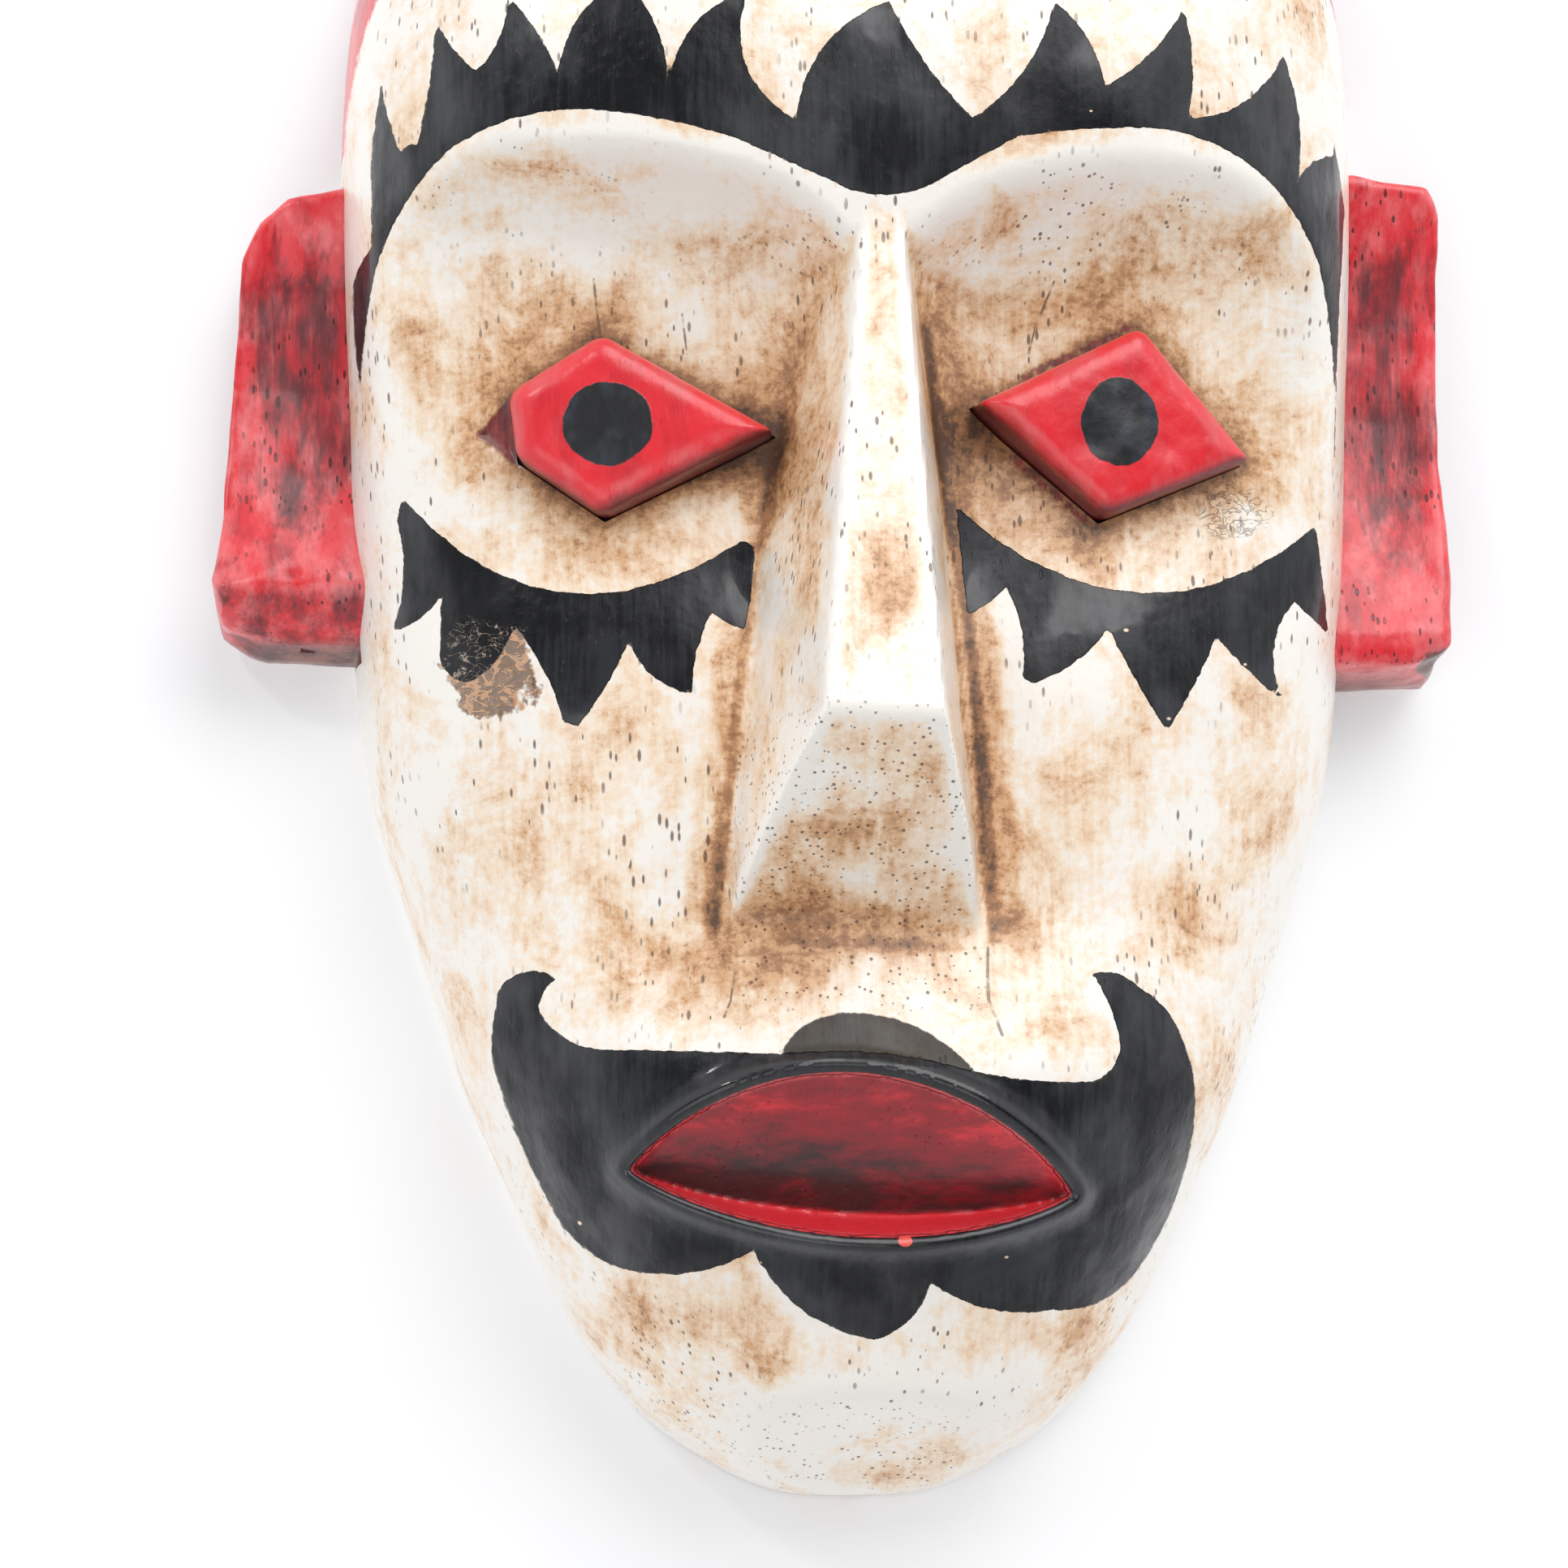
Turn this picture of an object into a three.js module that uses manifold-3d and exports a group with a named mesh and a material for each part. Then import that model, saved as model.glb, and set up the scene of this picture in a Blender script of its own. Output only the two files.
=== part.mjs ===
// A carved and painted wooden wall mask, in millimetres, +Z up.
//
// +X is to the viewer's right, -Y points at the viewer and y = 0 is the wall plane. Heights below are
// measured from the lowest point of the chin, and "proud" distances are measured forwards from the wall
// plane. At the end the whole mask is lowered, so that the frame's origin lies on the wall plane at the
// middle of the top of the back rim.

import * as THREE from "three";
import { ConvexGeometry } from "three/addons/geometries/ConvexGeometry.js";
import { mergeVertices } from "three/addons/utils/BufferGeometryUtils.js";
import Module from "manifold-3d";

const wasm = await Module();
wasm.setup();

// ---------------------------------------------------------------- driving dimensions

const ORIGIN_HEIGHT = 392; // the middle of the top rim land, above the chin
const JOINT_GAP = 0.3; // glue line or running space round every inserted piece

// The head's stations, from chin to crown: half width, how proud the middle is, and height.
const HEAD_STATIONS = [
  [0, 0, 0],
  [17, 18, 1.5],
  [30, 34, 7],
  [47, 50, 19],
  [63, 60, 40],
  [70, 68, 54],
  [78, 76, 72],
  [86, 78, 90],
  [91, 74, 105],
  [97, 69, 124],
  [107, 68, 158],
  [111, 71, 200],
  [112, 79, 238],
  [113, 87, 272],
  [113, 89, 305],
  [110, 85, 334],
  [101, 76, 359],
  [86, 64, 379],
  [63, 48, 394],
  [33, 27, 403],
  [0, 0, 406],
];
const CHIN_SQUARENESS = 2.3; // superellipse power of a level section at the chin
const BROW_SQUARENESS = 3.2; // and from the eyes upwards
const EYE_LINE = 228;
const HEAD_ROWS = 46;
const HEAD_COLUMNS = 50;
const BACK_SHARE = 0.2; // share of the columns that lie on the flat back

// The floor that both eye sockets are carved down to. It leaves the cheeks at its lowest stations.
const SOCKET_FLOOR_STATIONS = [
  [0, 0, 100],
  [130, 60, 120],
  [131, 74, 150],
  [131, 71, 180],
  [130, 64.5, 202],
  [130, 61.5, 222],
  [130, 61, 245],
  [130, 64, 275],
  [130, 66, 300],
  [0, 0, 330],
];
const BROW = {
  inner: 4, // across
  shoulderAt: 34,
  peakAt: 68,
  turn: 94,
  outer: 105.5,
  low: 170, // heights
  root: 264,
  shoulder: 281,
};
const LEFT_BROW_PEAK = 286.5;
const RIGHT_BROW_PEAK = 283.5;

// The nose wedge, each corner as x, how proud, and height, from the brow down to the lip.
const NOSE = [
  [-4.5, 87, 268],
  [5, 87, 268],
  [-14, 62, 245],
  [12, 62, 245],
  [-25, 64, 197],
  [18, 64, 187],
  [-11.5, 112, 167],
  [10.5, 112, 165],
  [-32.5, 64, 119],
  [23, 64, 114],
];
const NOSE_BURIED = 50;

const EYE = { at: 56, sunk: 5, thick: 14, bevel: 2.5, floor: 62, lean: 7 };
const LEFT_EYE = [
  [-57, 209],
  [-22.5, 226.5],
  [-58, 247],
  [-77, 234.5],
  [-76.5, 224.5],
];
const LEFT_MORTISE = [LEFT_EYE[0], LEFT_EYE[1], LEFT_EYE[2], [-84, 230]];
const RIGHT_EYE = [
  [49, 210],
  [79.5, 222],
  [56.5, 251],
  [21.5, 233],
];

const MOUTH = { left: -52.5, right: 40.5, leftCorner: 71, rightCorner: 65, upper: 21, lower: 12 };
const LIPS = { rim: 4, corner: 66, upper: 82.5, lower: 76.5, buried: 50 }; // rim width, then how proud
const CREASE = { z: 64, proud: 61, halfWide: 24, rise: 4 }; // the bottom of the mouth

const HOLLOW = { z: 185, wide: 85, deep: 48, tall: 148 };
const POCKET = { halfWide: 20, low: 325, shoulder: 366, high: 376, deep: 12 };

// Root is across and corner is a radius. The rest is the side profile, as proud distances.
const EAR = { root: 104, corner: 7, back: 5, sole: 12, lobe: 34, lobeUp: 14, trough: 21, lip: 29, brim: 26 };
const EAR_PEG = { radius: 4, long: 22, in: 13, heights: [212, 262] };
const LEFT_EAR = { side: -1, top: 133, bottom: 143, low: 184, high: 290 };
const RIGHT_EAR = { side: 1, top: 134, bottom: 135.5, low: 179, high: 296 };

const RING = { z: 352, wire: 1.2, halfWide: 9.5, tall: 15.5 };
const STRAP = { halfWide: 6, thick: 1.6, eye: 1.5, curl: 2.6, long: 17, hole: 1.9 };
const SCREW = { down: 9.5, shank: 1.5, long: 15, point: 4, head: 3.4, headTall: 2 };
const SCREW_HEIGHT = RING.z - SCREW.down;

// How proud the strap's outer face and the pin line of its curled eye are, inside the hanger pocket.
const STRAP_FACE = POCKET.deep - JOINT_GAP / 2 - STRAP.thick;
const PIN_PROUD = POCKET.deep - JOINT_GAP / 2 - STRAP.curl;

// ---------------------------------------------------------------- solids from three.js geometry

function solid(geometry) {
  const bare = geometry.clone();
  bare.deleteAttribute("normal");
  bare.deleteAttribute("uv");
  const merged = mergeVertices(bare, 1e-4);
  return new wasm.Manifold(
    new wasm.Mesh({
      numProp: 3,
      vertProperties: merged.attributes.position.array,
      triVerts: new Uint32Array(merged.index.array),
    }),
  );
}

function geometryOf(body) {
  const mesh = body.getMesh();
  const geometry = new THREE.BufferGeometry();
  geometry.setAttribute("position", new THREE.BufferAttribute(mesh.vertProperties, 3));
  geometry.setIndex(new THREE.BufferAttribute(mesh.triVerts, 1));
  geometry.computeVertexNormals();
  return geometry;
}

// A flat shape drawn in x and z, pushed forwards from one proud distance to another.
function frontExtrusion(shape, from, to) {
  const options = { depth: to - from, bevelEnabled: false, curveSegments: 8 };
  return new THREE.ExtrudeGeometry(shape, options).rotateX(Math.PI / 2).translate(0, -from, 0);
}

// A flat shape drawn in proud distance and z, pushed across the mask to a half width on each side.
function sideExtrusion(shape, halfWide) {
  const options = { depth: 2 * halfWide, bevelEnabled: false, curveSegments: 10 };
  const forwards = new THREE.Vector3(0, -1, 0);
  const upwards = new THREE.Vector3(0, 0, 1);
  const across = new THREE.Matrix4().makeBasis(forwards, upwards, new THREE.Vector3(-1, 0, 0));
  return new THREE.ExtrudeGeometry(shape, options).applyMatrix4(across).translate(halfWide, 0, 0);
}

// A round rod that lies across the mask.
function crossRod(radius, long, segments) {
  return new THREE.CylinderGeometry(radius, radius, long, segments).rotateZ(Math.PI / 2);
}

// ---------------------------------------------------------------- the head

// A skin with a level section at every height, rounded in front and flat at the back.
function skin(stations) {
  const spine = new THREE.CatmullRomCurve3(stations.map((station) => new THREE.Vector3(...station)));
  const geometry = new THREE.SphereGeometry(1, HEAD_COLUMNS, HEAD_ROWS);
  const { position, uv } = geometry.attributes;
  for (let i = 0; i < position.count; i++) {
    const { x: halfWidth, y: middle, z } = spine.getPoint(uv.getY(i));
    const eyeward = THREE.MathUtils.smoothstep(z, 0, EYE_LINE);
    const power = 2 / THREE.MathUtils.lerp(CHIN_SQUARENESS, BROW_SQUARENESS, eyeward);
    const round = uv.getX(i) % 1;
    if (round > 1 - BACK_SHARE) {
      const across = (round - 1 + BACK_SHARE) / BACK_SHARE;
      position.setXYZ(i, halfWidth * (1 - 2 * across), 0, z);
    } else {
      const angle = Math.PI * (1 - round / (1 - BACK_SHARE));
      const x = Math.sign(Math.cos(angle)) * Math.abs(Math.cos(angle)) ** power;
      const proud = Math.abs(Math.sin(angle)) ** power;
      position.setXYZ(i, halfWidth * x, -middle * proud, z);
    }
  }
  return geometry;
}

// What is carved away in front of one socket's floor. The brow is its upper edge.
function socketCut(side, peak) {
  const { inner, root, shoulder, shoulderAt, peakAt, turn, outer, low } = BROW;
  const outline = new THREE.Shape();
  outline.moveTo(side * inner, low);
  outline.lineTo(side * inner, root);
  outline.quadraticCurveTo(side * (inner + 12), shoulder - 5, side * shoulderAt, shoulder);
  outline.quadraticCurveTo(side * (shoulderAt + 14), peak, side * peakAt, peak);
  outline.bezierCurveTo(side * turn, peak, side * outer, peak - 20, side * outer, EYE_LINE);
  outline.lineTo(side * (outer + 15), low);
  return solid(frontExtrusion(outline, 10, 120)).subtract(solid(skin(SOCKET_FLOOR_STATIONS)));
}

function nose() {
  const front = NOSE.map(([x, proud, z]) => new THREE.Vector3(x, -proud, z));
  const ends = [...NOSE.slice(0, 2), ...NOSE.slice(-2)];
  const buried = ends.map(([x, , z]) => new THREE.Vector3(x, -NOSE_BURIED, z));
  return new ConvexGeometry([...front, ...buried]);
}

// Points round the almond of the mouth, widened by a rim and reaching so far forwards along each lip.
function almond(rim, corner, upper, lower) {
  const { lerp } = THREE.MathUtils;
  const steps = 12;
  const points = [];
  for (let i = 0; i <= steps; i++) {
    const across = i / steps;
    const bulge = 4 * across * (1 - across);
    const x = lerp(MOUTH.left - rim, MOUTH.right + rim, across);
    const z = lerp(MOUTH.leftCorner, MOUTH.rightCorner, across);
    points.push(new THREE.Vector3(x, -lerp(corner, upper, bulge), z + (MOUTH.upper + rim) * bulge));
    points.push(new THREE.Vector3(x, -lerp(corner, lower, bulge), z - (MOUTH.lower + rim) * bulge));
  }
  return points;
}

function lips() {
  const { rim, corner, upper, lower, buried } = LIPS;
  return new ConvexGeometry([
    ...almond(rim, corner, upper, lower),
    ...almond(rim, buried, buried, buried),
  ]);
}

// The mouth narrows to a level crease that lies nearer the lower lip.
function mouthCut() {
  const { corner, upper, lower } = LIPS;
  const clear = upper + 10;
  const middle = (MOUTH.left + MOUTH.right) / 2;
  const crease = [-1, 0, 1].map((end) => {
    const proud = CREASE.proud + CREASE.rise * Math.abs(end);
    return new THREE.Vector3(middle + end * CREASE.halfWide, -proud, CREASE.z);
  });
  return new ConvexGeometry([
    ...almond(0, corner, upper, lower),
    ...almond(0, clear, clear, clear),
    ...crease,
  ]);
}

function hollow() {
  const { z, wide, deep, tall } = HOLLOW;
  return new THREE.SphereGeometry(1, 32, 20)
    .rotateX(Math.PI / 2)
    .scale(wide, deep, tall)
    .translate(0, 0, z);
}

function hangerPocket() {
  const { halfWide, low, shoulder, high, deep } = POCKET;
  const shape = new THREE.Shape();
  shape.moveTo(-halfWide, low);
  shape.lineTo(halfWide, low);
  shape.lineTo(halfWide, shoulder);
  shape.quadraticCurveTo(halfWide, high, 0, high);
  shape.quadraticCurveTo(-halfWide, high, -halfWide, shoulder);
  return frontExtrusion(shape, -5, deep);
}

function screwHole() {
  const radius = SCREW.shank + JOINT_GAP;
  return new THREE.CylinderGeometry(radius, radius, 2 * SCREW.long, 16).translate(
    0,
    -POCKET.deep,
    SCREW_HEIGHT,
  );
}

function maskBody() {
  let body = solid(skin(HEAD_STATIONS));
  body = body.subtract(socketCut(-1, LEFT_BROW_PEAK)).subtract(socketCut(1, RIGHT_BROW_PEAK));
  body = body.add(solid(nose())).add(solid(lips()));
  const cuts = [
    mouthCut(),
    hollow(),
    hangerPocket(),
    screwHole(),
    eyeBlock(LEFT_MORTISE, -1, JOINT_GAP),
    eyeBlock(RIGHT_EYE, 1, JOINT_GAP),
    ...earPegs(-1, JOINT_GAP),
    ...earPegs(1, JOINT_GAP),
  ];
  for (const cut of cuts) body = body.subtract(solid(cut));
  for (const ear of [LEFT_EAR, RIGHT_EAR]) body = body.subtract(earBlock(ear, JOINT_GAP));
  return geometryOf(body);
}

// ---------------------------------------------------------------- eyes

// A bevelled lozenge let into a socket, leaning outwards with the socket's floor.
function eyeBlock(outline, side, grow) {
  const { at, sunk, thick, bevel, floor, lean } = EYE;
  const shape = new THREE.Shape(outline.map(([x, z]) => new THREE.Vector2(x - side * at, z)));
  const geometry = new THREE.ExtrudeGeometry(shape, {
    depth: thick - 2 * bevel + 2 * grow,
    bevelThickness: bevel,
    bevelSize: bevel,
    bevelOffset: grow - bevel,
    bevelSegments: 2,
  });
  return geometry
    .rotateX(Math.PI / 2)
    .translate(0, sunk - bevel + grow, 0)
    .rotateZ(side * THREE.MathUtils.degToRad(lean))
    .translate(side * at, -floor, 0);
}

// ---------------------------------------------------------------- ears

// An ear is the overlap of its front outline and its side profile, which is scooped between two lips.
function earBlock(ear, grow) {
  const { root, corner, back, sole, lobe, lobeUp, trough, lip, brim } = EAR;
  const { side, top, bottom } = ear;
  const low = ear.low - grow;
  const high = ear.high + grow;
  const outline = new THREE.Shape();
  outline.moveTo(side * (root - grow), low);
  outline.lineTo(side * (bottom - corner), low);
  outline.quadraticCurveTo(side * bottom, low, side * bottom, low + corner);
  outline.lineTo(side * top, high - 2 * corner);
  outline.quadraticCurveTo(side * top, high, side * (top - 2 * corner), high);
  outline.lineTo(side * (root - grow), high);

  const profile = new THREE.Shape();
  profile.moveTo(back - grow, low);
  profile.lineTo(sole + grow, low);
  profile.lineTo(lobe + grow, low + lobeUp / 2);
  profile.lineTo(lobe + grow, low + lobeUp);
  profile.quadraticCurveTo(trough + grow, low + 2 * lobeUp, trough + grow, (low + high) / 2);
  profile.quadraticCurveTo(trough + grow, high - lobeUp, lip + grow, high - 3);
  profile.lineTo(brim + grow, high);
  profile.lineTo(back - grow, high);

  return solid(frontExtrusion(outline, 0, 60)).intersect(solid(sideExtrusion(profile, 160)));
}

function earPegs(side, grow) {
  const { radius, long, heights } = EAR_PEG;
  return heights.map((z) =>
    crossRod(radius + grow, long + 2 * grow, 20).translate(side * EAR.root, -EAR_PEG.in, z),
  );
}

function fittedEar(ear) {
  return earPegs(ear.side, JOINT_GAP).reduce(
    (body, hole) => body.subtract(solid(hole)),
    earBlock(ear, 0),
  );
}

// ---------------------------------------------------------------- the hanger

function hangerStrap() {
  const { halfWide, thick, eye, curl, long, hole } = STRAP;
  const profile = new THREE.Shape();
  profile.moveTo(curl, 0);
  profile.absarc(0, 0, curl, 0, 2 * Math.PI - Math.acos((curl - thick) / curl), false);
  profile.lineTo(curl - thick, -long);
  profile.lineTo(curl, -long);
  profile.holes.push(new THREE.Path().absarc(0, 0, eye, 0, 2 * Math.PI, true));
  const strip = sideExtrusion(profile, halfWide).translate(0, -PIN_PROUD, RING.z);
  const screwWay = new THREE.CylinderGeometry(hole, hole, 4 * thick, 20);
  screwWay.translate(0, -POCKET.deep, SCREW_HEIGHT);
  return geometryOf(solid(strip).subtract(solid(screwWay)));
}

// A D-shaped ring: a straight bar through the strap's eye and a bow above it.
function hangerRing() {
  const { wire, halfWide, tall } = RING;
  const points = [];
  for (let i = 0; i <= 12; i++) {
    const angle = Math.PI * (1 - i / 12);
    const across = Math.sign(Math.cos(angle)) * Math.sqrt(Math.abs(Math.cos(angle)));
    points.push(new THREE.Vector3(halfWide * across, 0, tall * Math.sin(angle)));
  }
  const section = new THREE.Shape().absarc(0, 0, wire, 0, 2 * Math.PI, false);
  const extrudePath = new THREE.CatmullRomCurve3(points);
  const bow = new THREE.ExtrudeGeometry(section, { steps: 32, curveSegments: 6, extrudePath });
  const bar = crossRod(wire, 2 * halfWide + wire, 16);
  return geometryOf(solid(bow).add(solid(bar))).translate(0, -PIN_PROUD, RING.z);
}

function hangerScrew() {
  const { shank, long, point, head, headTall } = SCREW;
  const profile = new THREE.Shape();
  profile.moveTo(0, -long);
  profile.lineTo(shank, point - long);
  profile.lineTo(shank, 0);
  profile.lineTo(head, 0);
  profile.lineTo(head, headTall / 3);
  profile.quadraticCurveTo(head * 0.8, headTall, 0, headTall);
  const turned = new THREE.LatheGeometry(profile.getPoints(5), 20);
  return turned.translate(0, JOINT_GAP / 2 - STRAP_FACE, SCREW_HEIGHT);
}

// ---------------------------------------------------------------- the assembly

const FINISHES = {
  antiqueWhite: { color: 0xe9dcc6, roughness: 0.35, metalness: 0 },
  redPaint: { color: 0xc8202a, roughness: 0.3, metalness: 0 },
  bareWood: { color: 0xb98d5c, roughness: 0.8, metalness: 0 },
  zincSteel: { color: 0xb9bcc0, roughness: 0.35, metalness: 1 },
};

const mask = new THREE.Group();

function addPiece(name, geometry, finish) {
  const piece = new THREE.Mesh(geometry, new THREE.MeshStandardMaterial(FINISHES[finish]));
  piece.name = name;
  mask.add(piece);
}

addPiece("mask_body", maskBody(), "antiqueWhite");
addPiece("left_eye", eyeBlock(LEFT_EYE, -1, 0), "redPaint");
addPiece("right_eye", eyeBlock(RIGHT_EYE, 1, 0), "redPaint");
for (const [word, ear] of [["left", LEFT_EAR], ["right", RIGHT_EAR]]) {
  const [lowerPeg, upperPeg] = earPegs(ear.side, 0);
  addPiece(`${word}_ear`, geometryOf(fittedEar(ear)), "redPaint");
  addPiece(`${word}_ear_lower_peg`, lowerPeg, "bareWood");
  addPiece(`${word}_ear_upper_peg`, upperPeg, "bareWood");
}
addPiece("hanger_strap", hangerStrap(), "zincSteel");
addPiece("hanger_ring", hangerRing(), "zincSteel");
addPiece("hanger_screw", hangerScrew(), "zincSteel");

mask.position.z = -ORIGIN_HEIGHT;

export default mask;
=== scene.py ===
"""Looks for a carved and painted wooden wall mask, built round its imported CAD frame.

Lengths are millimetres until to_frame() turns them into the frame's metres. x is to the viewer's
right, "proud" is how far something stands in front of the back plane, and heights are measured up
from the lowest point of the chin.
"""

import itertools
import math

import bmesh
import bpy
import numpy as np
from mathutils import Matrix, Vector
from mathutils.kdtree import KDTree


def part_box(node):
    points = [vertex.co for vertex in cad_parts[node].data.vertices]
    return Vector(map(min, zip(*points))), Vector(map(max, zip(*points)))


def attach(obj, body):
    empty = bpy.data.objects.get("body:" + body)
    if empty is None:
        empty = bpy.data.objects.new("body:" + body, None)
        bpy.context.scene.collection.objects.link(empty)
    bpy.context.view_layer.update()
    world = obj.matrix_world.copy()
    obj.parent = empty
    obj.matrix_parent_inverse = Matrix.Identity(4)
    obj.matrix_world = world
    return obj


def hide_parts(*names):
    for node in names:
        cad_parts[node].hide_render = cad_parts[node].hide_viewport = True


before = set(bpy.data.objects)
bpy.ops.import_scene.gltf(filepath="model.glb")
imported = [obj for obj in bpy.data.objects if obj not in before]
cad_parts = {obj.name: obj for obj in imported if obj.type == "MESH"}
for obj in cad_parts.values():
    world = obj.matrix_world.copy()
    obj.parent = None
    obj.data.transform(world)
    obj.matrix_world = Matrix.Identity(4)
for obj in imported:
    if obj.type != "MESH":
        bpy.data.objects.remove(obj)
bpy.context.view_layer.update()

# ---------------------------------------------------------------- driving dimensions

MM = 0.001
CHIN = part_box("mask_body")[0].z / MM  # the chin's lowest point, in the frame
COARSE = 2.4  # mesh spacing on the crown and the chin
# Mesh spacing of the rows from each height upwards, finest at the mouth, the nose's ends and the brow.
ROW_SPACING = [(0, 2.4), (30, 1.5), (48, 0.75), (72, 0.9), (98, 1.4), (112, 1.1), (126, 1.5), (154, 1.1)]
ROW_SPACING += [(172, 1.6), (254, 1.0), (293, 2.0), (345, COARSE)]

# The head from chin to crown: half width, how proud the middle is, and height.
HEAD = [
    (0, 0, 0),
    (17, 18, 1.5),
    (30, 34, 7),
    (47, 50, 19),
    (63, 60, 40),
    (70, 68, 54),
    (78, 76, 72),
    (86, 78, 90),
    (91, 74, 105),
    (97, 69, 124),
    (107, 68, 158),
    (111, 71, 200),
    (112, 79, 238),
    (113, 87, 272),
    (113, 89, 305),
    (110, 85, 334),
    (101, 76, 359),
    (86, 64, 379),
    (63, 48, 394),
    (33, 27, 403),
    (0, 0, 406),
]
CHIN_SQUARENESS = 2.3  # superellipse power of a level section at the chin
BROW_SQUARENESS = 3.2  # and from the eyes upwards
EYE_LINE = 228

# The floor that the eye sockets are carved down to: half width, how proud the middle is, and height.
SOCKET_FLOOR = [
    (130, 74, 150),
    (131, 71, 180),
    (130, 64.5, 202),
    (130, 61.5, 222),
    (130, 61, 245),
    (130, 64, 275),
    (130, 66, 300),
]
COVE = 30  # how far the cove under the brow reaches inwards
CHIN_FACET = (14.3, 1.7)  # the flat cut under the chin: how proud at height 0, and its slope

MOUTH = {"left": -52.5, "right": 41, "left_corner": 71, "right_corner": 65, "upper": 22.5, "lower": 11.5}
LIP = {"high": 2.6, "wide": 2.6, "middle": 2.0, "deep": 11, "crease": 0.56, "soft": 0.12}

HOLLOW = {"z": 185, "wide": 85, "deep": 48, "tall": 148}
POCKET = {"half_wide": 20, "low": 325, "shoulder": 366, "high": 376, "deep": 12}

EYE = {"at": 56, "sunk": 5, "top": 9, "floor": 62, "lean": 7, "gap": 0.15}
LEFT_EYE = [(-57, 209.5), (-20.5, 227.5), (-57, 249), (-77, 236.5), (-75.5, 222.5)]
RIGHT_EYE = [(49.5, 209.5), (82, 223), (58, 251.5), (22, 234)]
# The lozenge's left corner, left as a red scrap in the socket where the block is cut short.
EYE_TIP = [(-76.5, 237.5), (-84, 229), (-75, 221.5)]

# ---------------------------------------------------------------- small tools


def to_frame(points):
    """(x, proud, height) in millimetres to the frame's metres."""
    points = np.asarray(points, float)
    return np.stack([points[:, 0], -points[:, 1], points[:, 2] + CHIN], axis=1) * MM


def from_frame(points):
    points = np.asarray(points, float) / MM
    return np.stack([points[:, 0], -points[:, 1], points[:, 2] - CHIN], axis=1)


def smoothstep(low, high, value):
    share = np.clip((value - low) / (high - low), 0, 1)
    return share * share * (3 - 2 * share)


def smooth_max(a, b, blend):
    """The larger of two heights, with the crease between them filled over a blend distance."""
    overlap = np.maximum(blend - np.abs(a - b), 0) / blend
    return np.maximum(a, b) + overlap * overlap * blend / 4


def smooth_min(a, b, blend):
    return -smooth_max(-a, -b, blend)


LATTICE = np.random.default_rng(16).random((32, 32, 32))


def noise(points, size):
    """Smooth value noise from -1 to 1, over cells of the given size, at (x, proud, height) points."""
    scaled = np.asarray(points, float) / np.asarray(size, float)
    cell = np.floor(scaled).astype(int)
    inside = scaled - cell
    inside = inside * inside * (3 - 2 * inside)
    total = np.zeros(len(scaled))
    for corner in itertools.product((0, 1), repeat=3):
        index = (cell + corner) % 32
        weight = np.prod(np.where(corner, inside, 1 - inside), axis=1)
        total += weight * LATTICE[index[:, 0], index[:, 1], index[:, 2]]
    return 2 * total - 1


def smooth_curve(points, steps=24):
    """Points along a centripetal Catmull-Rom curve through the given points."""
    knots = np.array(points, float)
    knots = np.vstack([2 * knots[0] - knots[1], knots, 2 * knots[-1] - knots[-2]])
    pieces = []
    for before, start, end, after in zip(knots, knots[1:], knots[2:], knots[3:]):
        d0 = np.linalg.norm(start - before) ** 0.5
        d1 = np.linalg.norm(end - start) ** 0.5
        d2 = np.linalg.norm(after - end) ** 0.5
        leave = ((start - before) / d0 - (end - before) / (d0 + d1)) * d1 + (end - start)
        reach = ((after - end) / d2 - (after - start) / (d1 + d2)) * d1 + (end - start)
        t = np.linspace(0, 1, steps, endpoint=False)[:, None]
        pieces.append(
            start * (2 * t**3 - 3 * t**2 + 1)
            + leave * (t**3 - 2 * t**2 + t)
            + end * (3 * t**2 - 2 * t**3)
            + reach * (t**3 - t**2)
        )
    pieces.append(knots[-2][None])
    return np.vstack(pieces)


def bowed_outline(nodes, steps=10):
    """A closed outline through (x, height, bow) nodes. The stretch that leaves a node bows to the left
    of its direction by that share of its own length."""
    points = []
    for (x0, z0, bow), (x1, z1, _) in zip(nodes, nodes[1:] + nodes[:1]):
        middle_x = (x0 + x1) / 2 - 2 * bow * (z1 - z0)
        middle_z = (z0 + z1) / 2 + 2 * bow * (x1 - x0)
        for t in np.linspace(0, 1, 2 if bow == 0 else steps, endpoint=False):
            x = (1 - t) ** 2 * x0 + 2 * t * (1 - t) * middle_x + t * t * x1
            z = (1 - t) ** 2 * z0 + 2 * t * (1 - t) * middle_z + t * t * z1
            points.append((x, z))
    return np.array(points)


FAR = 15.0  # distances are capped at this, unless a call asks for more


def signed_distance(x, z, outline, far=FAR):
    """How far each point is outside a closed outline, negative inside, capped at far."""
    low, high = outline.min(axis=0) - far, outline.max(axis=0) + far
    near = (x > low[0]) & (x < high[0]) & (z > low[1]) & (z < high[1])
    px, pz = x[near], z[near]
    best = np.full(len(px), float(far) ** 2)
    inside = np.zeros(len(px), bool)
    for (ax, az), (bx, bz) in zip(outline, np.roll(outline, -1, axis=0)):
        dx, dz = bx - ax, bz - az
        along = np.clip(((px - ax) * dx + (pz - az) * dz) / max(dx * dx + dz * dz, 1e-9), 0, 1)
        best = np.minimum(best, (px - ax - along * dx) ** 2 + (pz - az - along * dz) ** 2)
        crosses = (az > pz) != (bz > pz)
        if az != bz:
            inside ^= crosses & (px < ax + (pz - az) * dx / dz)
    result = np.full(len(x), float(far))
    result[near] = np.sqrt(best) * np.where(inside, -1, 1)
    return result


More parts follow.
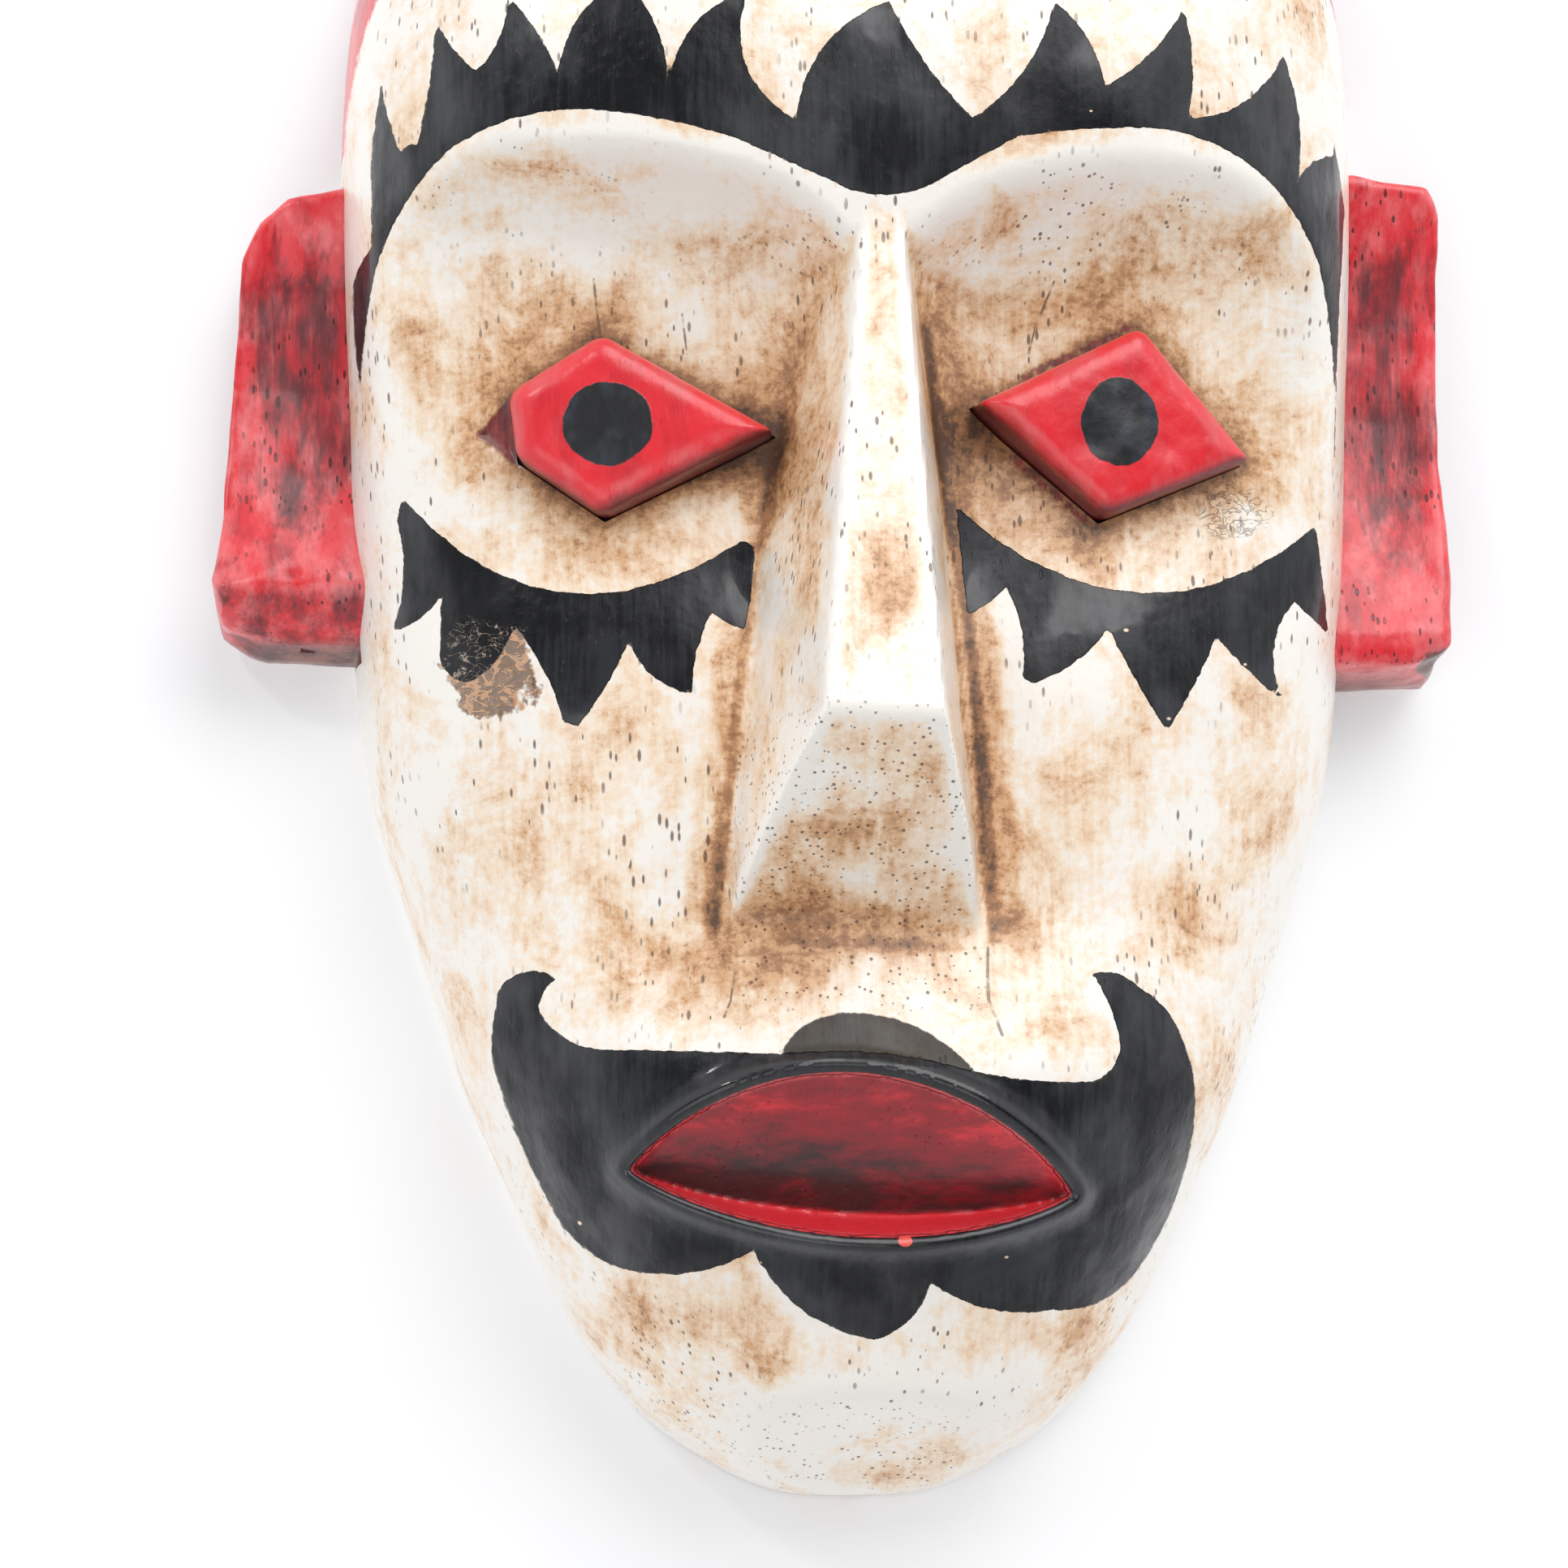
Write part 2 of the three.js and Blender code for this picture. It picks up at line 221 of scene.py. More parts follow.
def distance_to_line(x, z, points):
    """How far each point is from an open line through (x, height) points."""
    best = np.full(len(x), FAR)
    for (ax, az), (bx, bz) in zip(points, points[1:]):
        dx, dz = bx - ax, bz - az
        along = np.clip(((x - ax) * dx + (z - az) * dz) / (dx * dx + dz * dz), 0, 1)
        best = np.minimum(best, np.hypot(x - ax - along * dx, z - az - along * dz))
    return best


def make_piece(name, points, faces, smooth=True):
    """A mesh object from millimetre points."""
    mesh = bpy.data.meshes.new(name)
    mesh.from_pydata(to_frame(points).tolist(), [], faces)
    mesh.validate()
    piece = bpy.data.objects.new(name, mesh)
    bpy.context.scene.collection.objects.link(piece)
    if smooth:
        mesh.shade_smooth()
    return piece


def points_of(piece):
    points = np.empty(len(piece.data.vertices) * 3)
    piece.data.vertices.foreach_get("co", points)
    return from_frame(points.reshape(-1, 3))


def normals_of(piece):
    """The way out at every vertex, as (x, proud, height)."""
    normals = np.empty(len(piece.data.vertices) * 3)
    piece.data.vertices.foreach_get("normal", normals)
    return normals.reshape(-1, 3) * (1, -1, 1)


def box_of(node):
    """A CAD node's lowest and highest frame corners, as (x, proud, height) in millimetres."""
    return from_frame(list(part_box(node)))


def set_points(piece, points):
    piece.data.vertices.foreach_set("co", to_frame(points).ravel())
    piece.data.update()


def store(piece, name, values):
    """One number for every vertex, which the materials read by name."""
    attribute = piece.data.attributes.new(name, "FLOAT", "POINT")
    attribute.data.foreach_set("value", np.asarray(values, np.float32))


def cut_away(piece, cutters):
    """Cuts the cutters' shapes out of a piece, then deletes the cutters."""
    for cutter in cutters:
        boolean = piece.modifiers.new("cut", "BOOLEAN")
        boolean.operation = "DIFFERENCE"
        boolean.solver = "MANIFOLD"
        boolean.object = cutter
    graph = bpy.context.evaluated_depsgraph_get()
    mesh = bpy.data.meshes.new_from_object(piece.evaluated_get(graph))
    piece.modifiers.clear()
    piece.data = mesh
    for cutter in cutters:
        bpy.data.objects.remove(cutter)


def ring_faces(rings, around):
    """Quads between rings of points that follow each other, each with the same number of points."""
    faces = []
    for ring in range(rings - 1):
        for i in range(around):
            a = ring * around + i
            b = ring * around + (i + 1) % around
            faces.append((a, b, b + around, a + around))
    return faces


# ---------------------------------------------------------------- the shape of the face

HEAD_CURVE = smooth_curve(HEAD)
SOCKET_CURVE = smooth_curve(SOCKET_FLOOR)

NOSE_FOOT = 64  # how proud the nose's planes are at their outer corners
# The left and the right corner of each of the nose's edges, as (x, proud, height).
NOSE_EDGES = {
    "ridge_top": ((-4, 87, 267), (5.5, 87, 267)),
    "ridge_end": ((-14.5, 112, 163.5), (10, 112, 162)),
    "side": ((-25, NOSE_FOOT, 197), (18, NOSE_FOOT, 187)),
    "base": ((-32, NOSE_FOOT, 120), (22.5, NOSE_FOOT, 118)),
}
NOSTRIL = {"swell": 5.5, "reach": 24}

SOCKET_OUTLINES = [
    [(-4, 170, 0), (-4, 264, -0.1), (-33, 282.5, -0.04), (-68, 287, -0.1), (-97, 280, -0.15)]
    + [(-105, 255, -0.02), (-106, 226, 0), (-122, 170, 0)],
    [(4, 170, 0), (4, 264, 0.08), (37, 281.5, 0.03), (62, 283.5, 0.05), (84, 279.5, 0.13)]
    + [(102.5, 252, 0.03), (105.5, 226, 0), (122, 170, 0)],
]


def squareness(z):
    return CHIN_SQUARENESS + (BROW_SQUARENESS - CHIN_SQUARENESS) * smoothstep(0, EYE_LINE, z)


def skin(curve, x, z):
    """How proud a level superellipse section is, for a curve of (half width, proud, height)."""
    half = np.interp(z, curve[:, 2], curve[:, 0])
    middle = np.interp(z, curve[:, 2], curve[:, 1])
    power = squareness(z)
    room = 1 - (np.abs(x) / np.maximum(half, 0.001)) ** power
    return middle * np.clip(room, 0, 1) ** (1 / power)


def plane_through(a, b, c):
    """The plane proud = k0 + k1 x + k2 height through three points."""
    rows = np.array([[1, point[0], point[2]] for point in (a, b, c)], float)
    return np.linalg.solve(rows, [point[1] for point in (a, b, c)])


def nose_height(x, z):
    top, end, side, base = NOSE_EDGES.values()
    foot = ((base[0][0] + base[1][0]) / 2, NOSE_FOOT, (base[0][2] + base[1][2]) / 2)
    planes = [
        plane_through(top[0], end[0], end[1]),
        plane_through(end[0], end[1], foot),
    ]
    for i in (0, 1):
        planes.append(plane_through(top[i], end[i], side[i]))
        planes.append(plane_through(end[i], side[i], base[i]))
    heights = [k0 + k1 * x + k2 * z for k0, k1, k2 in planes]
    middle = (end[0][2] + base[0][2]) / 2
    bulge = NOSTRIL["swell"] * np.maximum(1 - ((z - middle) / NOSTRIL["reach"]) ** 2, 0)
    heights[3] = heights[3] + bulge
    heights[5] = heights[5] + bulge
    result = heights[0]
    for height in heights[1:]:
        result = smooth_min(result, height, 2.2)
    above_root = np.maximum(z - top[0][2] - 4, 0)
    return result - 3 * above_root


def mouth_lines(x):
    """The share of the way across the mouth, how open it is there, and the line of its corners."""
    across = (x - MOUTH["left"]) / (MOUTH["right"] - MOUTH["left"])
    inside = np.clip(across, 0, 1)
    openness = (4 * inside * (1 - inside)) ** 0.85
    corner = MOUTH["left_corner"] + (MOUTH["right_corner"] - MOUTH["left_corner"]) * across
    return openness, corner


def mouth_outline():
    x = np.linspace(MOUTH["left"], MOUTH["right"], 41)
    openness, corner = mouth_lines(x)
    upper = np.stack([x, corner + MOUTH["upper"] * openness], axis=1)
    lower = np.stack([x, corner - MOUTH["lower"] * openness], axis=1)
    return np.vstack([lower, upper[-2:0:-1]])


def mouth_depth(x, z):
    """How far the mouth is hollowed below its rim: two slopes that meet in a crease near the lower lip."""
    openness, corner = mouth_lines(x)
    crease = corner - LIP["crease"] * MOUTH["lower"] * openness
    above = (z - crease) / np.maximum(corner + MOUTH["upper"] * openness - crease, 0.01)
    below = (crease - z) / np.maximum(crease - corner + MOUTH["lower"] * openness, 0.01)
    away = np.clip(np.where(z > crease, above, below), 0, 1)
    away = (np.hypot(away, LIP["soft"]) - LIP["soft"]) / (math.hypot(1, LIP["soft"]) - LIP["soft"])
    return LIP["deep"] * openness**0.8 * (1 - away**1.1)


def mouth_shade_field(x, z):
    """How much painted shade darkens the mouth's upper slope: most just above the crease and towards the
    left.
    """
    openness, corner = mouth_lines(x)
    crease = corner - LIP["crease"] * MOUTH["lower"] * openness
    up = (z - crease) / np.maximum(corner + MOUTH["upper"] * openness - crease, 1)
    return -0.8 - 0.004 * x + (1.15 + 0.75 * smoothstep(0.8, 0.15, up)) * smoothstep(-0.9, 0.9, z - crease)


def carved_face(x, base, z):
    """How proud the carved face is, where the uncarved head is this proud."""
    start, slope = CHIN_FACET
    proud = smooth_min(base, start + slope * z, 3.0)
    floor = skin(SOCKET_CURVE, x, z)
    floor = np.where(z > SOCKET_FLOOR[0][2], floor, 200)
    for nodes in SOCKET_OUTLINES:
        inwards = smooth_max(-signed_distance(x, z, bowed_outline(nodes, 40), COVE + 4), 0, 3)
        cove = 1 - (1 - np.clip(inwards / COVE, 0, 1)) ** 2.5
        proud -= smooth_max(base - floor, 0, 12) * cove
    tip = signed_distance(x, z, np.array(EYE_TIP, float))
    proud -= 1.1 * smoothstep(0.4, -1.0, tip)
    rim = signed_distance(x, z, mouth_outline())
    bead = LIP["high"] * np.exp(-(((rim - LIP["middle"]) / LIP["wide"]) ** 2))
    proud += np.where(rim < LIP["middle"], LIP["high"] * smoothstep(-1.4, LIP["middle"], rim), bead)
    proud -= mouth_depth(x, z) * smoothstep(0.9, -0.9, rim)
    return smooth_max(proud, nose_height(x, z), 2.6)


def head_height(x, z):
    """How proud the finished face is at each place."""
    base = skin(HEAD_CURVE, x, z)
    proud = carved_face(x, base, z)
    return proud + gouge_marks(np.stack([x, proud, z], axis=1))


def gouge_marks(points):
    """The unevenness a carver's knife leaves."""
    broad = 0.55 * noise(points, (26, 60, 38))
    middle = 0.16 * noise(points + 40, (9, 20, 14))
    fine = 0.05 * noise(points + 80, (3.0, 8, 5))
    return broad + middle + fine


def spaced(lengths, spacing):
    """Positions along a path, from its running length and the mesh spacing wanted at each point."""
    density = np.concatenate([[0], np.cumsum(np.diff(lengths) / ((spacing[1:] + spacing[:-1]) / 2))])
    count = max(int(round(density[-1])), 2)
    return np.interp(np.linspace(0, density[-1], count + 1), density, np.arange(len(lengths)))


def head_rows():
    """(half width, proud, height) of every level section between the chin's lowest point and the crown."""
    curve = HEAD_CURVE
    step = np.linalg.norm(np.diff(curve, axis=0) * (0.7, 0.7, 1), axis=1)
    starts, sizes = np.array(ROW_SPACING).T
    spacing = sizes[np.searchsorted(starts, curve[:, 2], side="right") - 1]
    at = spaced(np.concatenate([[0], np.cumsum(step)]), spacing)[1:-1]
    index = np.arange(len(curve))
    return np.stack([np.interp(at, index, curve[:, k]) for k in range(3)], axis=1)


def head_columns():
    """Angles round the front half of a level section, from the left edge to the right."""
    angle = np.linspace(0, math.pi, 3000)
    power = 2 / 3.0
    x = -np.sign(np.cos(angle)) * np.abs(np.cos(angle)) ** power
    proud = np.sin(angle) ** power
    step = np.hypot(np.diff(x) * 112, np.diff(proud) * 85)
    zones = [np.abs(x + 0.03) < 0.3, np.abs(x) < 0.9, np.abs(x) < 0.985]
    spacing = np.select(zones, [0.78, 1.18, 1.8], 3.2)
    at = spaced(np.concatenate([[0], np.cumsum(step)]), spacing)
    return np.interp(at, np.arange(len(angle)), angle)


def uncut_head():
    """The outside of the head as one closed skin, dense in front and plain at the back."""
    rows = head_rows()
    angle = head_columns()
    angle = angle[1:-1]
    power = (2 / squareness(rows[:, 2]))[:, None]
    across = -np.sign(np.cos(angle)) * np.abs(np.cos(angle)) ** power
    forward = np.sin(angle) ** power
    x = rows[:, :1] * across
    base = rows[:, 1:2] * forward
    z = np.repeat(rows[:, 2:], len(angle), axis=1)
    flat = np.stack([x.ravel(), base.ravel(), z.ravel()], axis=1)
    proud = carved_face(flat[:, 0], flat[:, 1], flat[:, 2])
    fade = smoothstep(0, 12, flat[:, 1])
    flat[:, 1] = proud + gouge_marks(flat) * fade
    front = flat.reshape(len(rows), len(angle), 3)

    back_across = np.array([0.995, 0.98, 0.7, 0.35, 0, -0.35, -0.7, -0.98, -0.995])
    back_proud = np.array([1.3, 0, 0, 0, 0, 0, 0, 0, 1.3])
    back = np.empty((len(rows), len(back_across), 3))
    back[:, :, 0] = rows[:, :1] * back_across
    back[:, :, 1] = back_proud * np.clip(rows[:, 1:2] / 20, 0, 1)
    back[:, :, 2] = rows[:, 2:]
    rings = np.concatenate([front, back], axis=1)
    around = rings.shape[1]
    points = np.vstack([rings.reshape(-1, 3), (0, 0, 0.4), (0, 0, HEAD[-1][2] - 0.3)])
    faces = ring_faces(len(rows), around)
    chin, crown = len(points) - 2, len(points) - 1
    last = (len(rows) - 1) * around
    for i in range(around):
        following = (i + 1) % around
        faces.append((chin, following, i))
        faces.append((crown, last + i, last + following))
    return make_piece("painted_head", points, faces)


# ---------------------------------------------------------------- cutters


def prism(name, outline, near, far):
    """A straight-sided block over an (x, height) outline, between two proud distances."""
    count = len(outline)
    points = [(x, near, z) for x, z in outline] + [(x, far, z) for x, z in outline]
    faces = [tuple(range(count - 1, -1, -1)), tuple(range(count, 2 * count))]
    faces += [(i, (i + 1) % count, (i + 1) % count + count, i + count) for i in range(count)]
    piece = make_piece(name, np.array(points, float), faces, smooth=False)
    face_outwards(piece)
    return piece


def face_outwards(piece):
    work = bmesh.new()
    work.from_mesh(piece.data)
    bmesh.ops.recalc_face_normals(work, faces=work.faces)
    work.to_mesh(piece.data)
    work.free()


def hollow_cutter():
    """The egg-shaped hollow of the back, scalloped by rows of gouge strokes."""
    rows, around = 110, 150
    lean = np.linspace(0, math.pi, rows + 2)[1:-1]
    turn = np.linspace(0, 2 * math.pi, around, endpoint=False)
    lean, turn = np.meshgrid(lean, turn, indexing="ij")
    band = np.floor(lean * 9 + 0.35 * np.sin(turn * 3))
    stroke = np.abs(np.sin(turn * 13 + band * 2.4))
    between = np.abs(np.sin(math.pi * (lean * 9 + 0.35 * np.sin(turn * 3))))
    depth = 1.1 * (1 - stroke) * between**0.4
    grow = 1 - depth / HOLLOW["deep"]
    points = np.stack(
        [
            (HOLLOW["wide"] * np.sin(lean) * np.cos(turn) * grow).ravel(),
            (HOLLOW["deep"] * np.sin(lean) * np.sin(turn) * grow).ravel(),
            (HOLLOW["z"] - HOLLOW["tall"] * np.cos(lean)).ravel(),
        ],
        axis=1,
    )
    points = np.vstack(
        [points, (0, 0, HOLLOW["z"] - HOLLOW["tall"]), (0, 0, HOLLOW["z"] + HOLLOW["tall"])]
    )
    faces = ring_faces(rows, around)
    bottom, top = len(points) - 2, len(points) - 1
    last = (rows - 1) * around
    for i in range(around):
        following = (i + 1) % around
        faces.append((bottom, following, i))
        faces.append((top, last + i, last + following))
    piece = make_piece("hollow", points, faces)
    face_outwards(piece)
    return piece


def pocket_cutter():
    half, shoulder, high = POCKET["half_wide"], POCKET["shoulder"], POCKET["high"]
    outline = bowed_outline(
        [
            (-half, POCKET["low"], 0),
            (half, POCKET["low"], 0),
            (half, shoulder, -0.12),
            (0, high, -0.12),
            (-half, shoulder, 0),
        ]
    )
    return prism("pocket", outline, -5, POCKET["deep"])


def rod_cutter(name, radius, start, end):
    """A round rod between two (x, proud, height) points."""
    start, end = Vector(start), Vector(end)
    turn = (end - start).to_track_quat("Z", "Y").to_matrix()
    count = 32
    points = []
    for centre in (start, end):
        for i in range(count):
            angle = 2 * math.pi * i / count
            points.append(centre + turn @ Vector((radius * math.cos(angle), radius * math.sin(angle), 0)))
    faces = [tuple(range(count)), tuple(range(count, 2 * count))]
    faces += [(i, (i + 1) % count, (i + 1) % count + count, i + count) for i in range(count)]
    piece = make_piece(name, np.array(points), faces, smooth=False)
    face_outwards(piece)
    return piece


def peg_cutters():
    """One hole for each ear peg, a little larger than the peg."""
    cutters = []
    for side, row in itertools.product(("left", "right"), ("upper", "lower")):
        low, high = box_of(f"{side}_ear_{row}_peg")
        proud, z = (low[1] + high[1]) / 2, (low[2] + high[2]) / 2
        radius = (high[2] - low[2]) / 2 + 0.3
        cutters.append(rod_cutter("peg_hole", radius, (low[0] - 0.3, proud, z), (high[0] + 0.3, proud, z)))
    return cutters


def screw_cutter():
    low, high = box_of("hanger_screw")
    z = (low[2] + high[2]) / 2
    return rod_cutter("screw_hole", 1.8, (0, POCKET["deep"] - 1, z), (0, low[1] + 1, z))


# ---------------------------------------------------------------- eyes


def rounded_corners(corners, radius, steps=6):
    """A closed outline with each corner rounded off."""
    points = []
    corners = np.array(corners, float)
    for before, corner, after in zip(np.roll(corners, 1, 0), corners, np.roll(corners, -1, 0)):
        inwards = (before - corner) / np.linalg.norm(before - corner)
        outwards = (after - corner) / np.linalg.norm(after - corner)
        cut = radius * (0.4 if inwards @ outwards > 0 else 1)
        start, end = corner + inwards * cut, corner + outwards * cut
        for t in np.linspace(0, 1, steps):
            points.append((1 - t) ** 2 * start + 2 * t * (1 - t) * corner + t * t * end)
    return np.array(points)


def even_outline(outline, spacing):
    """The same closed outline with evenly spaced points."""
    loop = np.vstack([outline, outline[:1]])
    length = np.concatenate([[0], np.cumsum(np.linalg.norm(np.diff(loop, axis=0), axis=1))])
    at = np.linspace(0, length[-1], int(length[-1] / spacing), endpoint=False)
    return np.stack([np.interp(at, length, loop[:, k]) for k in (0, 1)], axis=1)


def leaning(points, side):
    """Turns block points, whose proud distance starts at the socket's floor, to lie on that floor."""
    turn = side * math.radians(EYE["lean"])
    x, y = points[:, 0] - side * EYE["at"], -points[:, 1]
    placed = np.empty_like(points)
    placed[:, 0] = side * EYE["at"] + x * math.cos(turn) - y * math.sin(turn)
    placed[:, 1] = EYE["floor"] - x * math.sin(turn) - y * math.cos(turn)
    placed[:, 2] = points[:, 2]
    return placed


def mortise_cutter(corners, side):
    centre = np.mean(corners, axis=0)
    spread = np.array(corners, float) - centre
    grown = centre + spread * (1 + 2 * EYE["gap"] / np.linalg.norm(spread, axis=1))[:, None]
    piece = prism("mortise", grown, -EYE["sunk"] - 0.3, 30)
    set_points(piece, leaning(points_of(piece), side))
    return piece


def eye_block(name, corners, side, pupil):
    """A soap-shaped lozenge block with a painted pupil."""
    outline = even_outline(rounded_corners(corners, 2.8), 0.8)
    centre = np.mean(corners, axis=0)
    inner = signed_distance(centre[:1], centre[1:], np.array(corners, float))[0]
    top = EYE["top"]
    drops = [(0, top + EYE["sunk"]), (0, top), (0, 6.0), (0, 4.6), (0.1, 3.6), (0.32, 2.8), (0.7, 2.1)]
    drops += [(1.15, 1.5), (1.65, 1.0), (2.25, 0.6), (2.9, 0.3), (3.6, 0.12), (4.4, 0.03)]
    drops += [(inset, 0) for inset in np.arange(5.2, -inner - 0.4, 0.85)]
    rings = []
    for inset, drop in drops:
        scale = 1 + inset / inner
        ring = centre + (outline - centre) * scale
        rings.append(np.stack([ring[:, 0], np.full(len(ring), top - drop), ring[:, 1]], axis=1))
    points = np.vstack(rings + [(centre[0], top, centre[1]), (centre[0], -EYE["sunk"], centre[1])])
    around = len(outline)
    faces = ring_faces(len(rings), around)
    middle, under = len(points) - 2, len(points) - 1
    last = (len(rings) - 1) * around
    for i in range(around):
        following = (i + 1) % around
        faces.append((middle, last + i, last + following))
        faces.append((under, following, i))
    lumps = 0.38 * noise(points, (9, 9, 9)) + 0.10 * noise(points + 30, (3, 3, 3))
    above = smoothstep(-2, 4, points[:, 1])
    points[:, 1] += lumps * above
    edge = signed_distance(points[:, 0], points[:, 2], np.array(corners, float))
    depth = top - points[:, 1]
    (px, pz), (rx, rz) = pupil
    wobble = 1 + 0.045 * noise(points + 90, (4, 400, 4))
    ink = (np.hypot((points[:, 0] - px) / rx, (points[:, 2] - pz) / rz) - wobble) * min(rx, rz)
    piece = make_piece(name, leaning(points, side), faces)
    face_outwards(piece)
    store(piece, "ink", ink)
    store(piece, "edge", edge)
    store(piece, "depth", depth)
    return piece


# ---------------------------------------------------------------- ears

EAR_ROOT = 104
EAR_BACK = 5
EAR_HALF = np.array((15, 15, 53))  # half the size of the block that an ear is shaped from
EAR_REACH = 31  # how far an ear stands out from its root
EAR_CHIP = (130.5, 184, 4.6, 2.8)  # the right ear's chipped corner: x, height, and its reach
# Each ear: heights of the top and the bottom edge against the share of the way outwards, how the bottom
# rises towards the front, and how proud the front is at each height. A dent is its x, its height, how far
# it reaches across and up, and its depth.
EARS = {
    "left": {
        "side": -1,
        "outer": [(184, 143), (290, 134)],
        "low": 184,
        "high": 290,
        "top_edge": [(0, 290), (0.3, 290), (0.7, 287.5), (0.88, 282.5), (1, 275.5)],
        "bottom_edge": [(0, 184), (0.66, 185), (0.76, 186.4), (0.93, 191), (1, 198)],
        "front_edge": [(0, 199.5), (0.25, 200), (0.6, 201.5), (0.93, 196.5), (1, 199)],
        "sole": [(0, 0), (0.25, 0), (0.62, 0.2), (1, 1)],
        "front": [(184, 34), (197, 34), (200, 33.2), (204, 31.2), (212, 28.3), (225, 25), (245, 22.5)]
        + [(268, 22.5), (282, 25), (290, 26.5)],
        "dents": [(-127.5, 279, 1.4, 4.2, 1.1), (-138, 214, 4, 7, 0.9), (-136, 196.5, 2.4, 1.6, 0.9)]
        + [(-124.5, 202, 2.6, 1.4, 0.8), (-133, 189, 3, 1.6, 0.8)],
    },
    "right": {
        "side": 1,
        "outer": [(179, 134.5), (230, 134), (296, 135)],
        "low": 179,
        "high": 296,
        "top_edge": [(0, 296), (0.35, 296), (0.88, 292.6), (1, 288.5)],
        "bottom_edge": [(0, 179), (0.3, 179), (0.88, 180), (1, 183)],
        "front_edge": [(0, 182.5), (0.7, 182.8), (1, 185)],
        "sole": [(0, 0), (0.3, 0), (1, 1)],
        "front": [(179, 34), (190, 33.7), (198, 31.5), (208, 28.5), (222, 24.5), (240, 22), (262, 21.5)]
        + [(282, 23.5), (292, 26), (296, 26.5)],
        "dents": [(130.5, 184.5, 4.2, 2.6, 1.3), (128, 205, 3.2, 5, 0.7), (112, 262, 2.4, 6, 0.5)],
    },
}
EAR_NAIL_HOLE = [(-122.5, 185.5), (-119, 185), (-119, 187), (-122, 187.5)]


def rounded_box(half, radius, spacing):
    """The surface points and quads of a box with rounded edges, centred on the origin."""
    half = np.array(half, float)
    counts = np.maximum((2 * half / spacing).astype(int), 2)
    index = {}
    points = []
    faces = []

    def corner(cell):
        if cell not in index:
            index[cell] = len(points)
            place = (np.array(cell) / counts * 2 - 1) * half
            core = np.clip(place, -(half - radius), half - radius)
            away = place - core
            size = np.linalg.norm(away)
            longest = np.abs(away).max()
            if size > 0:
                away = away / size * radius * (longest / radius)
            points.append(core + away)
        return index[cell]

    for axis in range(3):
        others = [k for k in range(3) if k != axis]
        for end in (0, counts[axis]):
            for a in range(counts[others[0]]):
                for b in range(counts[others[1]]):
                    quad = []
                    for da, db in ((0, 0), (1, 0), (1, 1), (0, 1)):
                        cell = [0, 0, 0]
                        cell[axis] = int(end)
                        cell[others[0]] = a + da
                        cell[others[1]] = b + db
                        quad.append(corner(tuple(cell)))
                    faces.append(tuple(quad))
    return np.array(points), faces


def along(table, value):
    """Reads the value at a position, along straight stretches between (position, value) pairs."""
    places, heights = np.array(table, float).T
    return np.interp(value, places, heights)


def ear_piece(word):
    ear = EARS[word]
    box, faces = rounded_box(EAR_HALF, 3.4, 1.15)
    across, forward, up = (box / (2 * EAR_HALF) + 0.5).T
    bottom = along(ear["bottom_edge"], across)
    bottom += along(ear["sole"], forward) * (along(ear["front_edge"], across) - bottom)
    z = bottom + up * (along(ear["top_edge"], across) - bottom)
    x = EAR_ROOT + across * (along(ear["outer"], z) - EAR_ROOT)
    hollow = 2.2 * (1 - (2 * across - 0.9) ** 2) * smoothstep(ear["low"] + 16, ear["low"] + 40, z)
    hollow *= smoothstep(ear["high"] - 4, ear["high"] - 26, z)
    proud = EAR_BACK + forward * (along(ear["front"], z) - hollow - EAR_BACK)
    piece = make_piece(f"{word}_ear_carved", np.stack([ear["side"] * x, proud, z], axis=1), faces)
    face_outwards(piece)
    points = points_of(piece)
    normals = normals_of(piece)
    swell = 0.6 * noise(points + 10, (13, 13, 22)) + 0.28 * noise(points + 50, (4.5, 4.5, 7)) - 0.45
    for dent_x, dent_z, reach_x, reach_z, deep in ear["dents"]:
        away = ((points[:, 0] - dent_x) / reach_x) ** 2 + ((points[:, 2] - dent_z) / reach_z) ** 2
        swell -= deep * np.exp(-away) * smoothstep(8, 18, points[:, 1])
    free = smoothstep(EAR_ROOT + 2, EAR_ROOT + 8, np.abs(points[:, 0]))
    set_points(piece, points + normals * (swell * free)[:, None])
    worn = hollowness(piece)
    uncut = points_of(piece)
    cutters = peg_cutters()
    if word == "left":
        cutters.append(prism("nail_hole", np.array(EAR_NAIL_HOLE), 17, 45))
    cut_away(piece, cutters)
    points = points_of(piece)
    up = (points[:, 2] - ear["low"]) / (ear["high"] - ear["low"])
    out = (np.abs(points[:, 0]) - EAR_ROOT) / EAR_REACH
    # Painted shade: darker across the middle of the ear's front, over its scooped hollow, fading towards the
    # top and the bottom.
    rub = (1 - np.clip(np.abs(out - 0.58) / 0.5, 0, 1) ** 2) * smoothstep(0.16, 0.34, up)
    rub *= smoothstep(1.0, 0.78, up)
    if word == "left":
        # Painted shade on the left ear's lower front facet, which faces down.
        rub += 0.75 * smoothstep(0.155, 0.125, up) * smoothstep(34, 31.5, points[:, 1])
    store(piece, "rub", rub)
    store(piece, "cavity", carried_over(points, uncut, worn))
    under = smoothstep(0.055, 0.02, up) if word == "left" else smoothstep(0.035, 0.0, up)
    store(piece, "sole", under * smoothstep(31, 27, points[:, 1]))
    chip_x, chip_z, reach_x, reach_z = EAR_CHIP
    chip = np.hypot((points[:, 0] - chip_x) / reach_x, (points[:, 2] - chip_z) / reach_z)
    store(piece, "chip", chip)
    return piece


# ---------------------------------------------------------------- the painted figures

